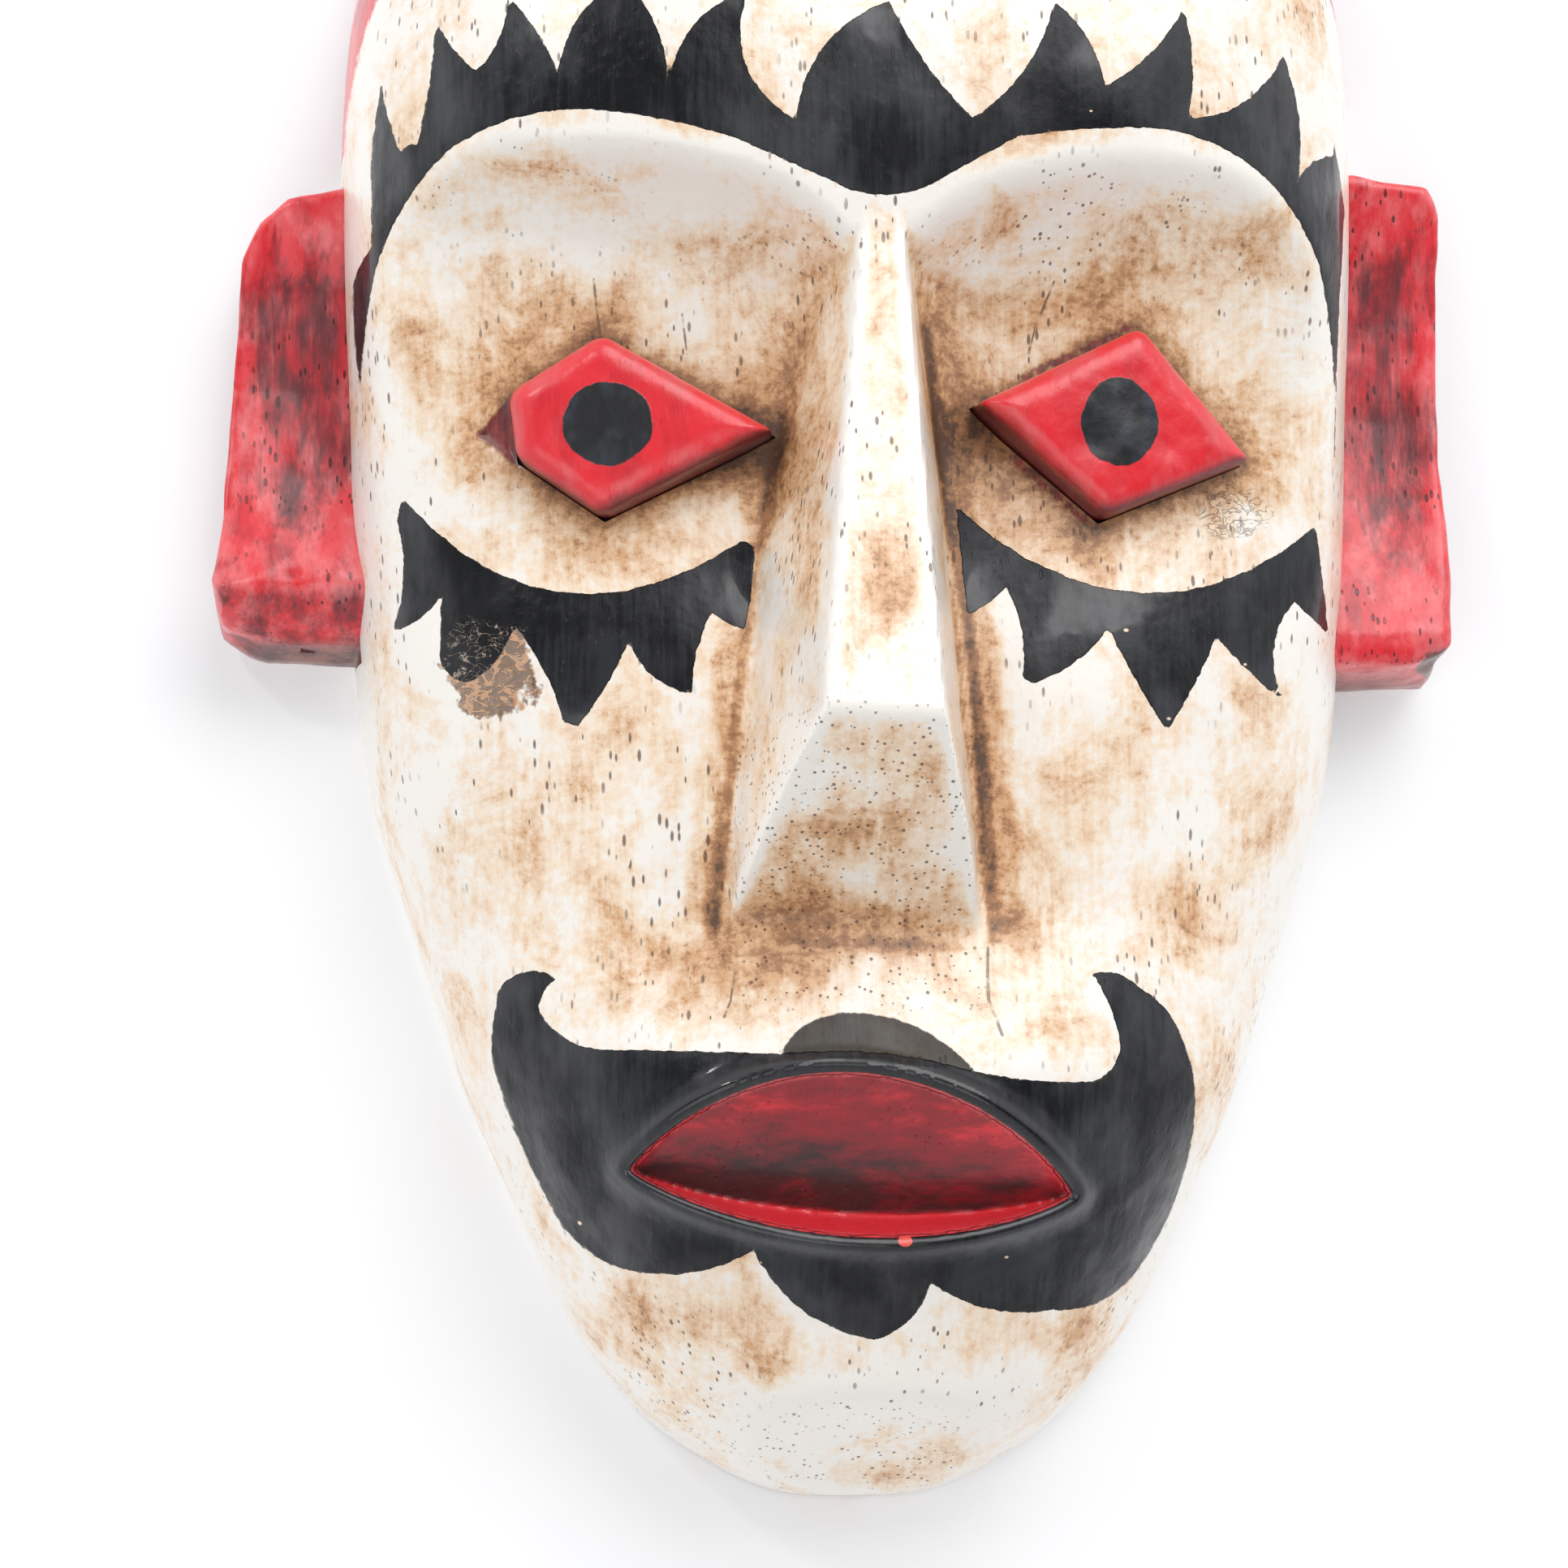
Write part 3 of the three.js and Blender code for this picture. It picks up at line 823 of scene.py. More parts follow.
HAIR = [
    (-109, 242.5, 0.02),
    (-110.5, 265.5, 0.1),
    (-106.5, 270.5, 0),
    (-106.5, 292.5, 0),
    (-104.5, 305.5, -0.03),
    (-100.5, 289, 0.25),
    (-97, 289.5, -0.03),
    (-93, 316.5, -0.06),
    (-84.5, 303.5, -0.12),
    (-78, 319.5, 0.05),
    (-67.5, 301, 0.12),
    (-54, 322, 0.1),
    (-44.5, 297.5, 0.15),
    (-27.5, 319, -0.2),
    (-17.5, 290.5, 0.15),
    (2.5, 317, -0.05),
    (20, 291.5, -0.1),
    (38, 317.5, 0.1),
    (48.5, 299, -0.07),
    (66.5, 317.5, 0.06),
    (67, 293.5, -0.1),
    (84.5, 302.5, -0.05),
    (90, 310.5, 0.08),
    (93, 283, 0.1),
    (103.5, 291.5, 0),
    (104, 295, 0),
    (107.5, 281.5, 0),
    (105.5, 261, 0),
    (105, 227, -0.05),
    (99, 267, -0.13),
    (61.5, 291, -0.02),
    (29.5, 288, 0),
    (10.5, 277.5, 0.08),
    (-5, 276, 0),
    (-29, 286.5, -0.03),
    (-60, 293.5, -0.08),
    (-90.5, 287.5, -0.07),
    (-106, 265.5, -0.02),
]
LEFT_LASHES = [
    (-100, 216, -0.23),
    (-27.5, 205, 0),
    (-25, 203.5, 0.02),
    (-27.5, 185.5, 0.06),
    (-34.5, 189.5, -0.06),
    (-39, 171.5, 0),
    (-41, 172, 0.12),
    (-52, 183.5, 0.03),
    (-63, 165, 0),
    (-66, 166.5, -0.05),
    (-76, 187, 0),
    (-79.5, 181, 0.1),
    (-86, 175.5, 0.15),
    (-92, 181, 0),
    (-91.5, 195, 0.12),
    (-102, 188, -0.08),
    (-101, 211.5, 0),
]
RIGHT_LASHES = [
    (18.5, 212.5, -0.22),
    (99.5, 211, 0),
    (103.5, 188.5, 0.03),
    (94, 194, -0.1),
    (88.5, 182, -0.08),
    (91, 172.5, 0.05),
    (75, 185.5, 0.03),
    (63.5, 164.5, 0.03),
    (51, 186.5, 0.08),
    (34, 174, 0),
    (32, 175.5, -0.08),
    (29, 195.5, 0.06),
    (20.5, 189, 0),
]
MOUSTACHE = [
    (-68, 111.5, -0.15),
    (-75, 113, -0.2),
    (-80, 106, -0.06),
    (-80, 92.5, -0.03),
    (-65.5, 59.5, -0.05),
    (-56, 51.5, -0.12),
    (-26.5, 54, -0.12),
    (-0.5, 35, -0.15),
    (11, 47, -0.1),
    (38.5, 41, -0.12),
    (58, 48, -0.1),
    (70, 83.5, -0.04),
    (66.5, 97.5, -0.1),
    (56, 109, -0.15),
    (46, 111.5, 0.05),
    (51.5, 98, 0.2),
    (44.5, 88.5, 0.03),
    (19.5, 90.5, -0.05),
    (-21.5, 94.5, 0),
    (-56.5, 96, 0.15),
    (-71.5, 105.5, 0.1),
]
THIN_PAINT = [
    (19.5, 90.5, -0.1),
    (-2.5, 103, -0.08),
    (-14.5, 101.5, -0.1),
    (-21.5, 94.5, 0),
]
# Rubbed-in stain: x, height, how far it reaches across and up, and how strong.
STAINS = [
    (2, 262, 9, 8, 0.25),
    (-15, 246, 7, 16, 0.55),
    (14, 246, 8, 18, 0.6),
    (-23, 221, 7, 16, 0.75),
    (24, 222, 8, 18, 0.75),
    (-32, 268, 14, 6, 0.3),
    (-57, 252, 36, 9, 0.2),
    (36, 260, 16, 10, 0.3),
    (58, 262, 34, 12, 0.34),
    (84, 236, 12, 22, 0.3),
    (-88, 226, 10, 16, 0.34),
    (-50, 203, 26, 7, 0.3),
    (60, 204, 30, 8, 0.34),
    (-84, 245, 8, 7, 0.24),
    (-1, 190, 6, 16, 0.42),
    (-1, 160, 10, 8, 0.2),
    (-6, 142, 16, 14, 0.32),
    (-6, 124, 26, 6, 0.5),
    (4, 118, 12, 3, 0.8),
    (-5, 112, 34, 5, 0.3),
    (-72, 147, 18, 22, 0.26),
    (-45, 168, 16, 14, 0.22),
    (70, 124, 13, 11, 0.45),
    (29, 121, 4, 4, 0.6),
    (44, 165, 14, 18, 0.22),
    (-34, 111, 16, 9, 0.3),
    (-42, 40, 17, 8, 0.5),
    (-24, 30, 14, 8, 0.4),
    (24, 35, 18, 6, 0.4),
    (44, 98, 9, 6, 0.35),
    (10, 7, 24, 4, 0.3),
    (47, 26, 7, 14, 0.3),
]
# Lines of stain where the nose meets the face: the line, how strong, and how far it reaches.
NOSE_FOOT_STAINS = [
    ([(-20, 225), (-26, 197)], 0.3, 1.2),
    ([(-26, 197), (-34.5, 122)], 0.6, 1.1),
    ([(-32.5, 150), (-35, 121)], 0.5, 1.6),
    ([(-29.5, 186), (-37.5, 126)], 0.5, 3.2),
    ([(11.5, 250), (20.5, 187), (25, 122)], 0.95, 1.2),
    ([(22, 172), (25, 120)], 0.5, 1.6),
    ([(15, 232), (23.5, 187), (28.5, 124)], 0.6, 3.2),
    ([(-16, 119), (17, 117.5)], 0.4, 1.3),
]
SPILLS = [
    ([(31, 224), (47.5, 209)], 0.7),
    ([(33, 241), (57, 252.5)], 0.7),
]
CRACKS = [
    ([(23.5, 118), (23, 111), (23, 106), (25.5, 98.5)], 0.28),
    ([(-59, 262), (-58.5, 257), (-57.5, 249)], 0.22),
    ([(-40, 254.5), (-39, 246)], 0.18),
    ([(-30.5, 112), (-31.5, 106), (-33, 102.5)], 0.18),
    ([(40.5, 262), (36.5, 252), (35, 246.5)], 0.2),
]
# Single spots: x, height, and how far they reach across and up.
PAINT_DRIP = (5, 55.5, 1.5, 1.2)
WRINKLES = (79, 213, 9, 6)
KNOT = (-81.5, 178, 10.5, 11.5)
# The red cap covers what lies outside a superellipse arch that stands on the line z = low.
CAP = {"low": 296, "left": 112.5, "right": 114.5, "tall": 93, "power": 1.9, "scale": 90, "far": 12.0}


def outside_all(x, z, shapes):
    return np.min([signed_distance(x, z, bowed_outline(nodes)) for nodes in shapes], axis=0)


def stain_field(x, z):
    """How much antiquing is rubbed in, before the paint's own mottling."""
    total = np.full(len(x), -0.12)
    for sx, sz, reach_x, reach_z, strength in STAINS:
        near = np.exp(-(((x - sx) / reach_x) ** 2) - ((z - sz) / reach_z) ** 2)
        total = np.maximum(total, 0) + strength * near * (1 - total)
    for corners in (LEFT_EYE, RIGHT_EYE):
        gap = signed_distance(x, z, np.array(corners, float))
        total += 1.2 * np.exp(-(np.maximum(gap, 0) / 2.6)) + 0.55 * np.exp(-(np.maximum(gap, 0) / 9))
    for foot, dark, wide in NOSE_FOOT_STAINS:
        total += dark * smoothstep(1.6 * wide, 0.4 * wide, distance_to_line(x, z, foot))
    return np.clip(total, 0, 1.6)


def cap_distance(x, z):
    """How far each point is from the red cap that covers the crown, negative on the cap."""
    wide = np.where(x < 0, CAP["left"], CAP["right"])
    up = np.clip(z - CAP["low"], 0, None)
    arch = (np.abs(x) / wide) ** CAP["power"] + (up / CAP["tall"]) ** CAP["power"]
    front = (1 - arch ** (1 / CAP["power"])) * CAP["scale"]
    return np.where(z > CAP["low"], front, CAP["far"])


def paint_head(piece, uncut, cavity):
    """Stores what the head's material needs to know at every point."""
    points = points_of(piece)
    x, proud, z = points.T
    on_front = proud > 3
    ink = outside_all(x, z, (HAIR, LEFT_LASHES, RIGHT_LASHES, MOUSTACHE))
    rim = signed_distance(x, z, mouth_outline())
    ink = np.maximum(ink, -rim - 0.4)
    thin = signed_distance(x, z, bowed_outline(THIN_PAINT))
    store(piece, "ink", np.where(on_front, ink, FAR))
    store(piece, "thin", np.where(on_front, thin, FAR))
    store(piece, "mouth", np.where(on_front, rim, FAR))
    store(piece, "painted_mouth_shade", mouth_shade_field(x, z))
    store(piece, "cap", cap_distance(x, z))
    store(piece, "stain", stain_field(x, z))
    end_grain = smoothstep(170, 160, z) * smoothstep(100, 108, z) * smoothstep(30, 22, np.abs(x + 4))
    store(piece, "end_grain", end_grain)
    store(piece, "cavity", carried_over(points, uncut, cavity))
    tip = signed_distance(x, z, np.array(EYE_TIP, float))
    for line, width in SPILLS:
        tip = np.minimum(tip, distance_to_line(x, z, line) - width)
    store(piece, "spill", np.where(on_front, tip, FAR))


def carried_over(points, old_points, old_values):
    """Each point's value from the nearest of the old points."""
    tree = KDTree(len(old_points))
    for i, point in enumerate(old_points):
        tree.insert(point, i)
    tree.balance()
    return old_values[[tree.find(point)[1] for point in points]]


def hollowness(piece):
    """How far each vertex of a closed mesh lies in a hollow (positive) or on an edge (negative), in mm."""
    points = points_of(piece)
    edges = np.empty(len(piece.data.edges) * 2, int)
    piece.data.edges.foreach_get("vertices", edges)
    edges = edges.reshape(-1, 2)
    count = np.zeros(len(points))
    np.add.at(count, edges[:, 0], 1)
    np.add.at(count, edges[:, 1], 1)
    normals = normals_of(piece)
    blurred = points.copy()
    for _ in range(14):
        total = np.zeros_like(blurred)
        np.add.at(total, edges[:, 0], blurred[edges[:, 1]])
        np.add.at(total, edges[:, 1], blurred[edges[:, 0]])
        blurred = 0.5 * blurred + 0.5 * total / count[:, None]
    return np.sum((blurred - points) * normals, axis=1)


# ---------------------------------------------------------------- materials


class Shader:
    """A material whose nodes are written as short expressions. Sizes are in millimetres."""

    def __init__(self, name):
        self.material = bpy.data.materials.new(name)
        self.material.use_nodes = True
        self.tree = self.material.node_tree
        self.tree.nodes.clear()
        self.surface = self.tree.nodes.new("ShaderNodeBsdfPrincipled")
        self.output = self.tree.nodes.new("ShaderNodeOutputMaterial")
        self.tree.links.new(self.surface.outputs[0], self.output.inputs[0])
        self.place = self.node("ShaderNodeTexCoord").outputs["Object"]
        flat = {0: self.place, 1: (1 / MM, 0, 1 / MM), 2: (0, 0, -CHIN)}
        self.front = self.vector("MULTIPLY_ADD", flat)

    def put(self, socket, value):
        if isinstance(value, bpy.types.NodeSocket):
            self.tree.links.new(value, socket)
        elif isinstance(value, tuple) and len(value) == 3 and socket.type == "RGBA":
            socket.default_value = (*value, 1)
        else:
            socket.default_value = value

    def node(self, kind, inputs=None, **settings):
        made = self.tree.nodes.new(kind)
        for key, value in settings.items():
            setattr(made, key, value)
        for key, value in (inputs or {}).items():
            self.put(made.inputs[key], value)
        return made

    def math(self, operation, a, b=0.0, c=0.0):
        return self.node("ShaderNodeMath", {0: a, 1: b, 2: c}, operation=operation).outputs[0]

    def vector(self, operation, inputs, output=0):
        return self.node("ShaderNodeVectorMath", inputs, operation=operation).outputs[output]

    def add(self, a, b):
        return self.math("ADD", a, b)

    def times(self, a, b):
        return self.math("MULTIPLY", a, b)

    def step(self, low, high, value):
        """0 below low, 1 above high and smooth between. Low may be the larger."""
        inputs = {"Value": value, "From Min": low, "From Max": high, "To Min": 0.0, "To Max": 1.0}
        return self.node("ShaderNodeMapRange", inputs, interpolation_type="SMOOTHSTEP").outputs[0]

    def mix(self, share, a, b):
        made = self.node("ShaderNodeMix", data_type="RGBA", clamp_factor=True)
        for index, value in ((0, share), (6, a), (7, b)):
            self.put(made.inputs[index], value)
        return made.outputs[2]

    def blend(self, share, a, b):
        made = self.node("ShaderNodeMix", data_type="FLOAT", clamp_factor=True)
        for index, value in ((0, share), (2, a), (3, b)):
            self.put(made.inputs[index], value)
        return made.outputs[0]

    def spot(self, x, z, reach_x, reach_z):
        """0 in the middle of an ellipse seen from the front, and 1 on its rim."""
        away = self.vector("SUBTRACT", {0: self.front, 1: (x, 0, z)})
        away = self.vector("MULTIPLY", {0: away, 1: (1 / reach_x, 1, 1 / reach_z)})
        return self.vector("LENGTH", {0: away}, 1)

    def line(self, points):
        """The distance in millimetres from a line through (x, height) points, seen from the front."""
        nearest = None
        for (ax, az), (bx, bz) in zip(points, points[1:]):
            run = Vector((bx - ax, 0, bz - az))
            away = self.vector("SUBTRACT", {0: self.front, 1: (ax, 0, az)})
            share = self.vector("DOT_PRODUCT", {0: away, 1: tuple(run / run.length_squared)}, 1)
            share = self.node("ShaderNodeClamp", {0: share}).outputs[0]
            foot = self.vector("SCALE", {0: tuple(run), "Scale": share})
            distance = self.vector("LENGTH", {0: self.vector("SUBTRACT", {0: away, 1: foot})}, 1)
            nearest = distance if nearest is None else self.math("MINIMUM", nearest, distance)
        return nearest

    def uneven(self, texture, amount):
        """A texture as a number from about -amount/2 to amount/2."""
        return self.math("MULTIPLY_ADD", texture, amount, -amount / 2)

    def scaled(self, sizes, shift=0.0):
        """The point's place, counted in cells of the given sizes in millimetres."""
        scale = tuple(1000 / size for size in sizes)
        inputs = {"Vector": self.place, "Scale": scale, "Location": (shift, shift, shift)}
        return self.node("ShaderNodeMapping", inputs).outputs[0]

    def noise(self, sizes, detail=4.0, roughness=0.55, shift=0.0, distortion=0.0):
        inputs = {
            "Vector": self.scaled(sizes, shift),
            "Scale": 1.0,
            "Detail": detail,
            "Roughness": roughness,
            "Distortion": distortion,
        }
        return self.node("ShaderNodeTexNoise", inputs).outputs[0]

    def specks(self, sizes, radius, share, shift=0.0):
        """1 in small specks, one in a share of the cells of the given sizes, and 0 elsewhere."""
        inputs = {"Vector": self.scaled(sizes, shift), "Scale": 1.0, "Randomness": 1.0}
        made = self.node("ShaderNodeTexVoronoi", inputs)
        pick = self.node("ShaderNodeSeparateColor", {0: made.outputs["Color"]})
        chosen = self.math("LESS_THAN", pick.outputs[0], share)
        size = self.math("MULTIPLY_ADD", pick.outputs[1], radius * 0.6, radius * 0.55)
        inner = self.times(size, 0.55)
        near = self.step(size, inner, made.outputs["Distance"])
        return self.times(near, chosen)

    def attribute(self, name):
        return self.node("ShaderNodeAttribute", attribute_name=name).outputs["Fac"]

    def bump(self, height, distance, normal=None):
        """Height is 0 to 1, and distance is what 1 stands for, in millimetres."""
        inputs = {"Height": height, "Distance": distance * MM, "Strength": 1.0}
        if normal is not None:
            inputs["Normal"] = normal
        return self.node("ShaderNodeBump", inputs).outputs[0]

    def calm(self, colour):
        """The same colour, but greyer in the light it throws on the pieces round it."""
        thrown = self.node("ShaderNodeLightPath").outputs["Is Diffuse Ray"]
        return self.mix(self.times(thrown, 0.8), colour, (0.45, 0.40, 0.40))

    def finish(self, colour, roughness, normal, coat=0.0, coat_roughness=0.1, metallic=0.0):
        values = {
            "Base Color": colour,
            "Roughness": roughness,
            "Normal": normal,
            "Coat Weight": coat,
            "Coat Roughness": coat_roughness,
            "Metallic": metallic,
        }
        for key, value in values.items():
            self.put(self.surface.inputs[key], value)
        return self.material


IVORY = (0.89, 0.85, 0.79)
WASH = (0.87, 0.70, 0.53)
TAN = (0.64, 0.345, 0.155)
BROWN = (0.31, 0.13, 0.048)
SOOT = (0.075, 0.038, 0.024)
PORE = (0.12, 0.05, 0.024)
BLACK = (0.0055, 0.006, 0.0075)
DUSTY_BLACK = (0.024, 0.025, 0.030)
FILM = (0.015, 0.011, 0.008)
SCARLET = (0.74, 0.022, 0.034)
CRIMSON = (0.42, 0.008, 0.016)
PINK = (0.86, 0.20, 0.21)
MAROON = (0.085, 0.009, 0.015)
RESIN = (0.50, 0.24, 0.10)
DARK_RESIN = (0.11, 0.045, 0.018)
SOLE_BROWN = (0.16, 0.09, 0.06)
SOLE_BLACK = (0.07, 0.03, 0.028)
CHIPPED_WOOD = (0.035, 0.014, 0.014)
RED_DIRT = (0.02, 0.006, 0.006)
# Bare wood: the light and the deep tone of its grain.
DARK_WOOD = ((0.36, 0.22, 0.12), (0.20, 0.11, 0.055))
PALE_WOOD = ((0.55, 0.39, 0.23), (0.34, 0.21, 0.11))


def pores(shader, end_grain, share=0.62):
    """Short dark vessels along the grain, or round ones where the grain is cut across."""
    thick = shader.step(0.44, 0.60, shader.noise((26, 26, 36), 2))
    dashes = shader.specks((1.45, 1.45, 5.2), 0.30, share)
    dashes = shader.times(dashes, thick)
    if end_grain is None:
        return dashes
    dots = shader.specks((1.7, 1.7, 1.7), 0.25, 0.95, 3.0)
    return shader.blend(end_grain, dashes, dots)


def antique_ivory(shader, stain, cavity, end_grain):
    """Ivory paint with brown stain rubbed over it. Returns its colour, its pores and the stain."""
    amount = shader.add(stain, shader.uneven(shader.noise((21, 21, 26), 12, 0.68, 2.0, 0.4), 3.3))
    amount = shader.add(amount, shader.uneven(shader.noise((1.6, 14, 22), 4, 0.6, 5.0), 0.6))
    grain = shader.uneven(shader.noise((2.2, 2.2, 1.8), 6, 0.72, 8.0), 1.5)
    amount = shader.add(amount, shader.times(grain, 0.7))
    hollow = shader.math("MAXIMUM", cavity, 0.0)
    edge = shader.math("MINIMUM", cavity, 0.0)
    amount = shader.add(amount, shader.times(hollow, 0.45))
    amount = shader.add(amount, shader.times(edge, 1.1))
    colour = shader.mix(shader.step(-0.05, 0.45, amount), IVORY, WASH)
    colour = shader.mix(shader.times(shader.step(0.3, 0.9, amount), 0.9), colour, TAN)
    granular = shader.add(amount, grain)
    colour = shader.mix(shader.times(shader.step(0.75, 1.35, granular), 0.85), colour, BROWN)
    colour = shader.mix(shader.times(shader.step(1.3, 2.0, granular), 0.9), colour, SOOT)
    dirt = pores(shader, end_grain)
    colour = shader.mix(shader.times(dirt, 0.85), colour, PORE)
    return colour, dirt, amount


def mouth_red(shader, ragged):
    """Crimson inside the mouth, darkened by painted shade above its crease, and bright along its rim."""
    painted_mouth_shade = shader.uneven(shader.noise((13, 9, 4.5), 7, 0.66, 33.0), 1.9)
    shade = shader.add(shader.attribute("painted_mouth_shade"), painted_mouth_shade)
    # Painted shade: the upper slope runs from scarlet through crimson to near black, darkest just above the
    # crease, with noise breaking it up.
    colour = shader.mix(shader.step(-0.1, 0.5, shade), SCARLET, (0.30, 0.008, 0.016))
    colour = shader.mix(shader.step(0.4, 1.25, shade), colour, (0.030, 0.010, 0.010))
    rim = shader.add(shader.attribute("mouth"), shader.times(ragged, 1.5))
    return shader.mix(shader.times(shader.step(-1.2, -0.4, rim), 0.55), colour, (0.82, 0.09, 0.10))


def cap_red(shader, dirt):
    rub = shader.noise((9, 9, 14), 6, 0.6, 21.0)
    colour = shader.mix(shader.step(0.45, 0.75, rub), SCARLET, CRIMSON)
    colour = shader.mix(shader.times(shader.step(0.50, 0.30, rub), 0.35), colour, PINK)
    wear = shader.noise((7, 7, 20), 7, 0.65, 27.0)
    colour = shader.mix(shader.times(shader.step(0.52, 0.70, wear), 0.8), colour, MAROON)
    return shader.mix(shader.times(dirt, 0.8), colour, MAROON)


def head_paint():
    shader = Shader("antiqued_folk_paint")
    cavity = shader.attribute("cavity")
    stain, end_grain = shader.attribute("stain"), shader.attribute("end_grain")
    colour, dirt, amount = antique_ivory(shader, stain, cavity, end_grain)

    ragged = shader.uneven(shader.noise((2.4, 2.4, 2.4), 4, 0.6), 1.1)
    ink = shader.step(0.16, -0.16, shader.add(shader.attribute("ink"), ragged))
    film = shader.step(0.2, -0.2, shader.add(shader.attribute("thin"), ragged))
    mouth = shader.step(0.15, -0.15, shader.add(shader.attribute("mouth"), shader.times(ragged, 0.5)))
    cap = shader.step(0.4, -0.4, shader.add(shader.attribute("cap"), shader.times(ragged, 2.0)))
    spill = shader.step(0.5, -0.4, shader.add(shader.attribute("spill"), shader.times(ragged, 2.2)))

    colour = shader.mix(shader.times(film, 0.95), colour, FILM)
    strokes = shader.noise((1.3, 9, 15), 5, 0.65, 11.0)
    cloud = shader.noise((24, 24, 24), 3, 0.5, 15.0)
    dusty = shader.add(shader.uneven(strokes, 1.2), shader.uneven(cloud, 2.4))
    colour = shader.mix(ink, colour, shader.mix(shader.step(-0.25, 0.35, dusty), BLACK, DUSTY_BLACK))
    chips = shader.times(shader.specks((9, 9, 6), 0.08, 0.2, 61.0), ink)
    colour = shader.mix(chips, colour, WASH)
    colour = shader.mix(mouth, colour, mouth_red(shader, ragged))
    colour = shader.mix(cap, colour, shader.calm(cap_red(shader, dirt)))
    smear = shader.mix(shader.step(0.35, 0.6, strokes), (0.30, 0.02, 0.03), MAROON)
    colour = shader.mix(shader.times(spill, 0.85), colour, smear)
    drip = shader.step(1.1, 0.9, shader.spot(*PAINT_DRIP))
    colour = shader.mix(drip, colour, (0.80, 0.10, 0.08))

    crack = None
    for points, half_wide in CRACKS:
        split = shader.add(shader.line(points), shader.times(ragged, 0.35))
        split = shader.step(half_wide + 0.12, half_wide - 0.15, split)
        crack = split if crack is None else shader.math("MAXIMUM", crack, split)
    crack = shader.times(crack, shader.step(0.34, 0.56, shader.noise((3, 3, 3), 3, 0.6, 71.0)))
    colour = shader.mix(shader.times(crack, 0.8), colour, (0.17, 0.085, 0.045))

    rugged = shader.uneven(shader.noise((7, 7, 7), 3, 0.6, 45.0), 1.3)
    contour = shader.noise((4.2, 4.2, 2.6), 2, 0.5, 41.0, 1.6)
    ridge = shader.math("ABSOLUTE", shader.uneven(contour, 2.0))
    folds = shader.step(0.09, 0.0, ridge)
    patch = shader.step(1.0, 0.8, shader.add(shader.spot(*WRINKLES), rugged))
    knot = shader.step(1.0, 0.9, shader.add(shader.spot(*KNOT), rugged))
    gum = shader.mix(shader.step(0.44, 0.62, contour), RESIN, DARK_RESIN)
    bare_knot = shader.times(knot, shader.math("SUBTRACT", 1.0, ink))
    colour = shader.mix(shader.times(bare_knot, 0.85), colour, gum)
    # Painted highlight: pale tan lines along the crests of the knot's folds.
    painted_fold_highlight = shader.times(shader.step(0.05, 0.015, ridge), knot)
    colour = shader.mix(shader.times(painted_fold_highlight, 0.6), colour, (0.62, 0.50, 0.40))
    puckered = shader.math("MAXIMUM", patch, knot)

    normal = shader.bump(shader.noise((0.5, 6, 13), 4, 0.55, 51.0), 0.05)
    peel = shader.noise((3.4, 3.4, 4.4), 4, 0.55, 57.0)
    normal = shader.bump(peel, 0.30, normal)
    normal = shader.bump(shader.times(shader.noise((15, 15, 19), 3, 0.5, 63.0), ink), 1.4, normal)
    normal = shader.bump(shader.math("SUBTRACT", 1.0, dirt), 0.22, normal)
    normal = shader.bump(shader.add(ink, shader.times(film, 0.5)), 0.10, normal)
    normal = shader.bump(shader.math("SUBTRACT", 1.0, crack), 0.3, normal)
    normal = shader.bump(shader.times(folds, puckered), 0.45, normal)

    dull = shader.blend(shader.step(0.3, 0.9, amount), 0.34, 0.52)
    roughness = shader.blend(ink, dull, shader.blend(strokes, 0.22, 0.42))
    lip = shader.times(shader.step(5.5, 3.0, shader.attribute("mouth")), ink)
    shine = shader.math("MAXIMUM", shader.step(0.40, 0.66, shader.noise((17, 17, 30), 4, 0.6, 19.0)), lip)
    dark = shader.math("MAXIMUM", ink, film)
    gloss = shader.blend(dark, 0.45, shader.blend(shine, 0.12, 0.85))
    gloss = shader.times(gloss, shader.math("SUBTRACT", 1.0, shader.times(film, 0.6)))
    gloss = shader.math("MAXIMUM", gloss, shader.times(knot, 0.5))
    sheen = shader.blend(ink, 0.22, shader.blend(shine, 0.22, 0.05))
    shader.put(shader.surface.inputs["Specular IOR Level"], shader.blend(dark, 0.5, 0.2))
    return shader.finish(colour, roughness, normal, gloss, sheen)


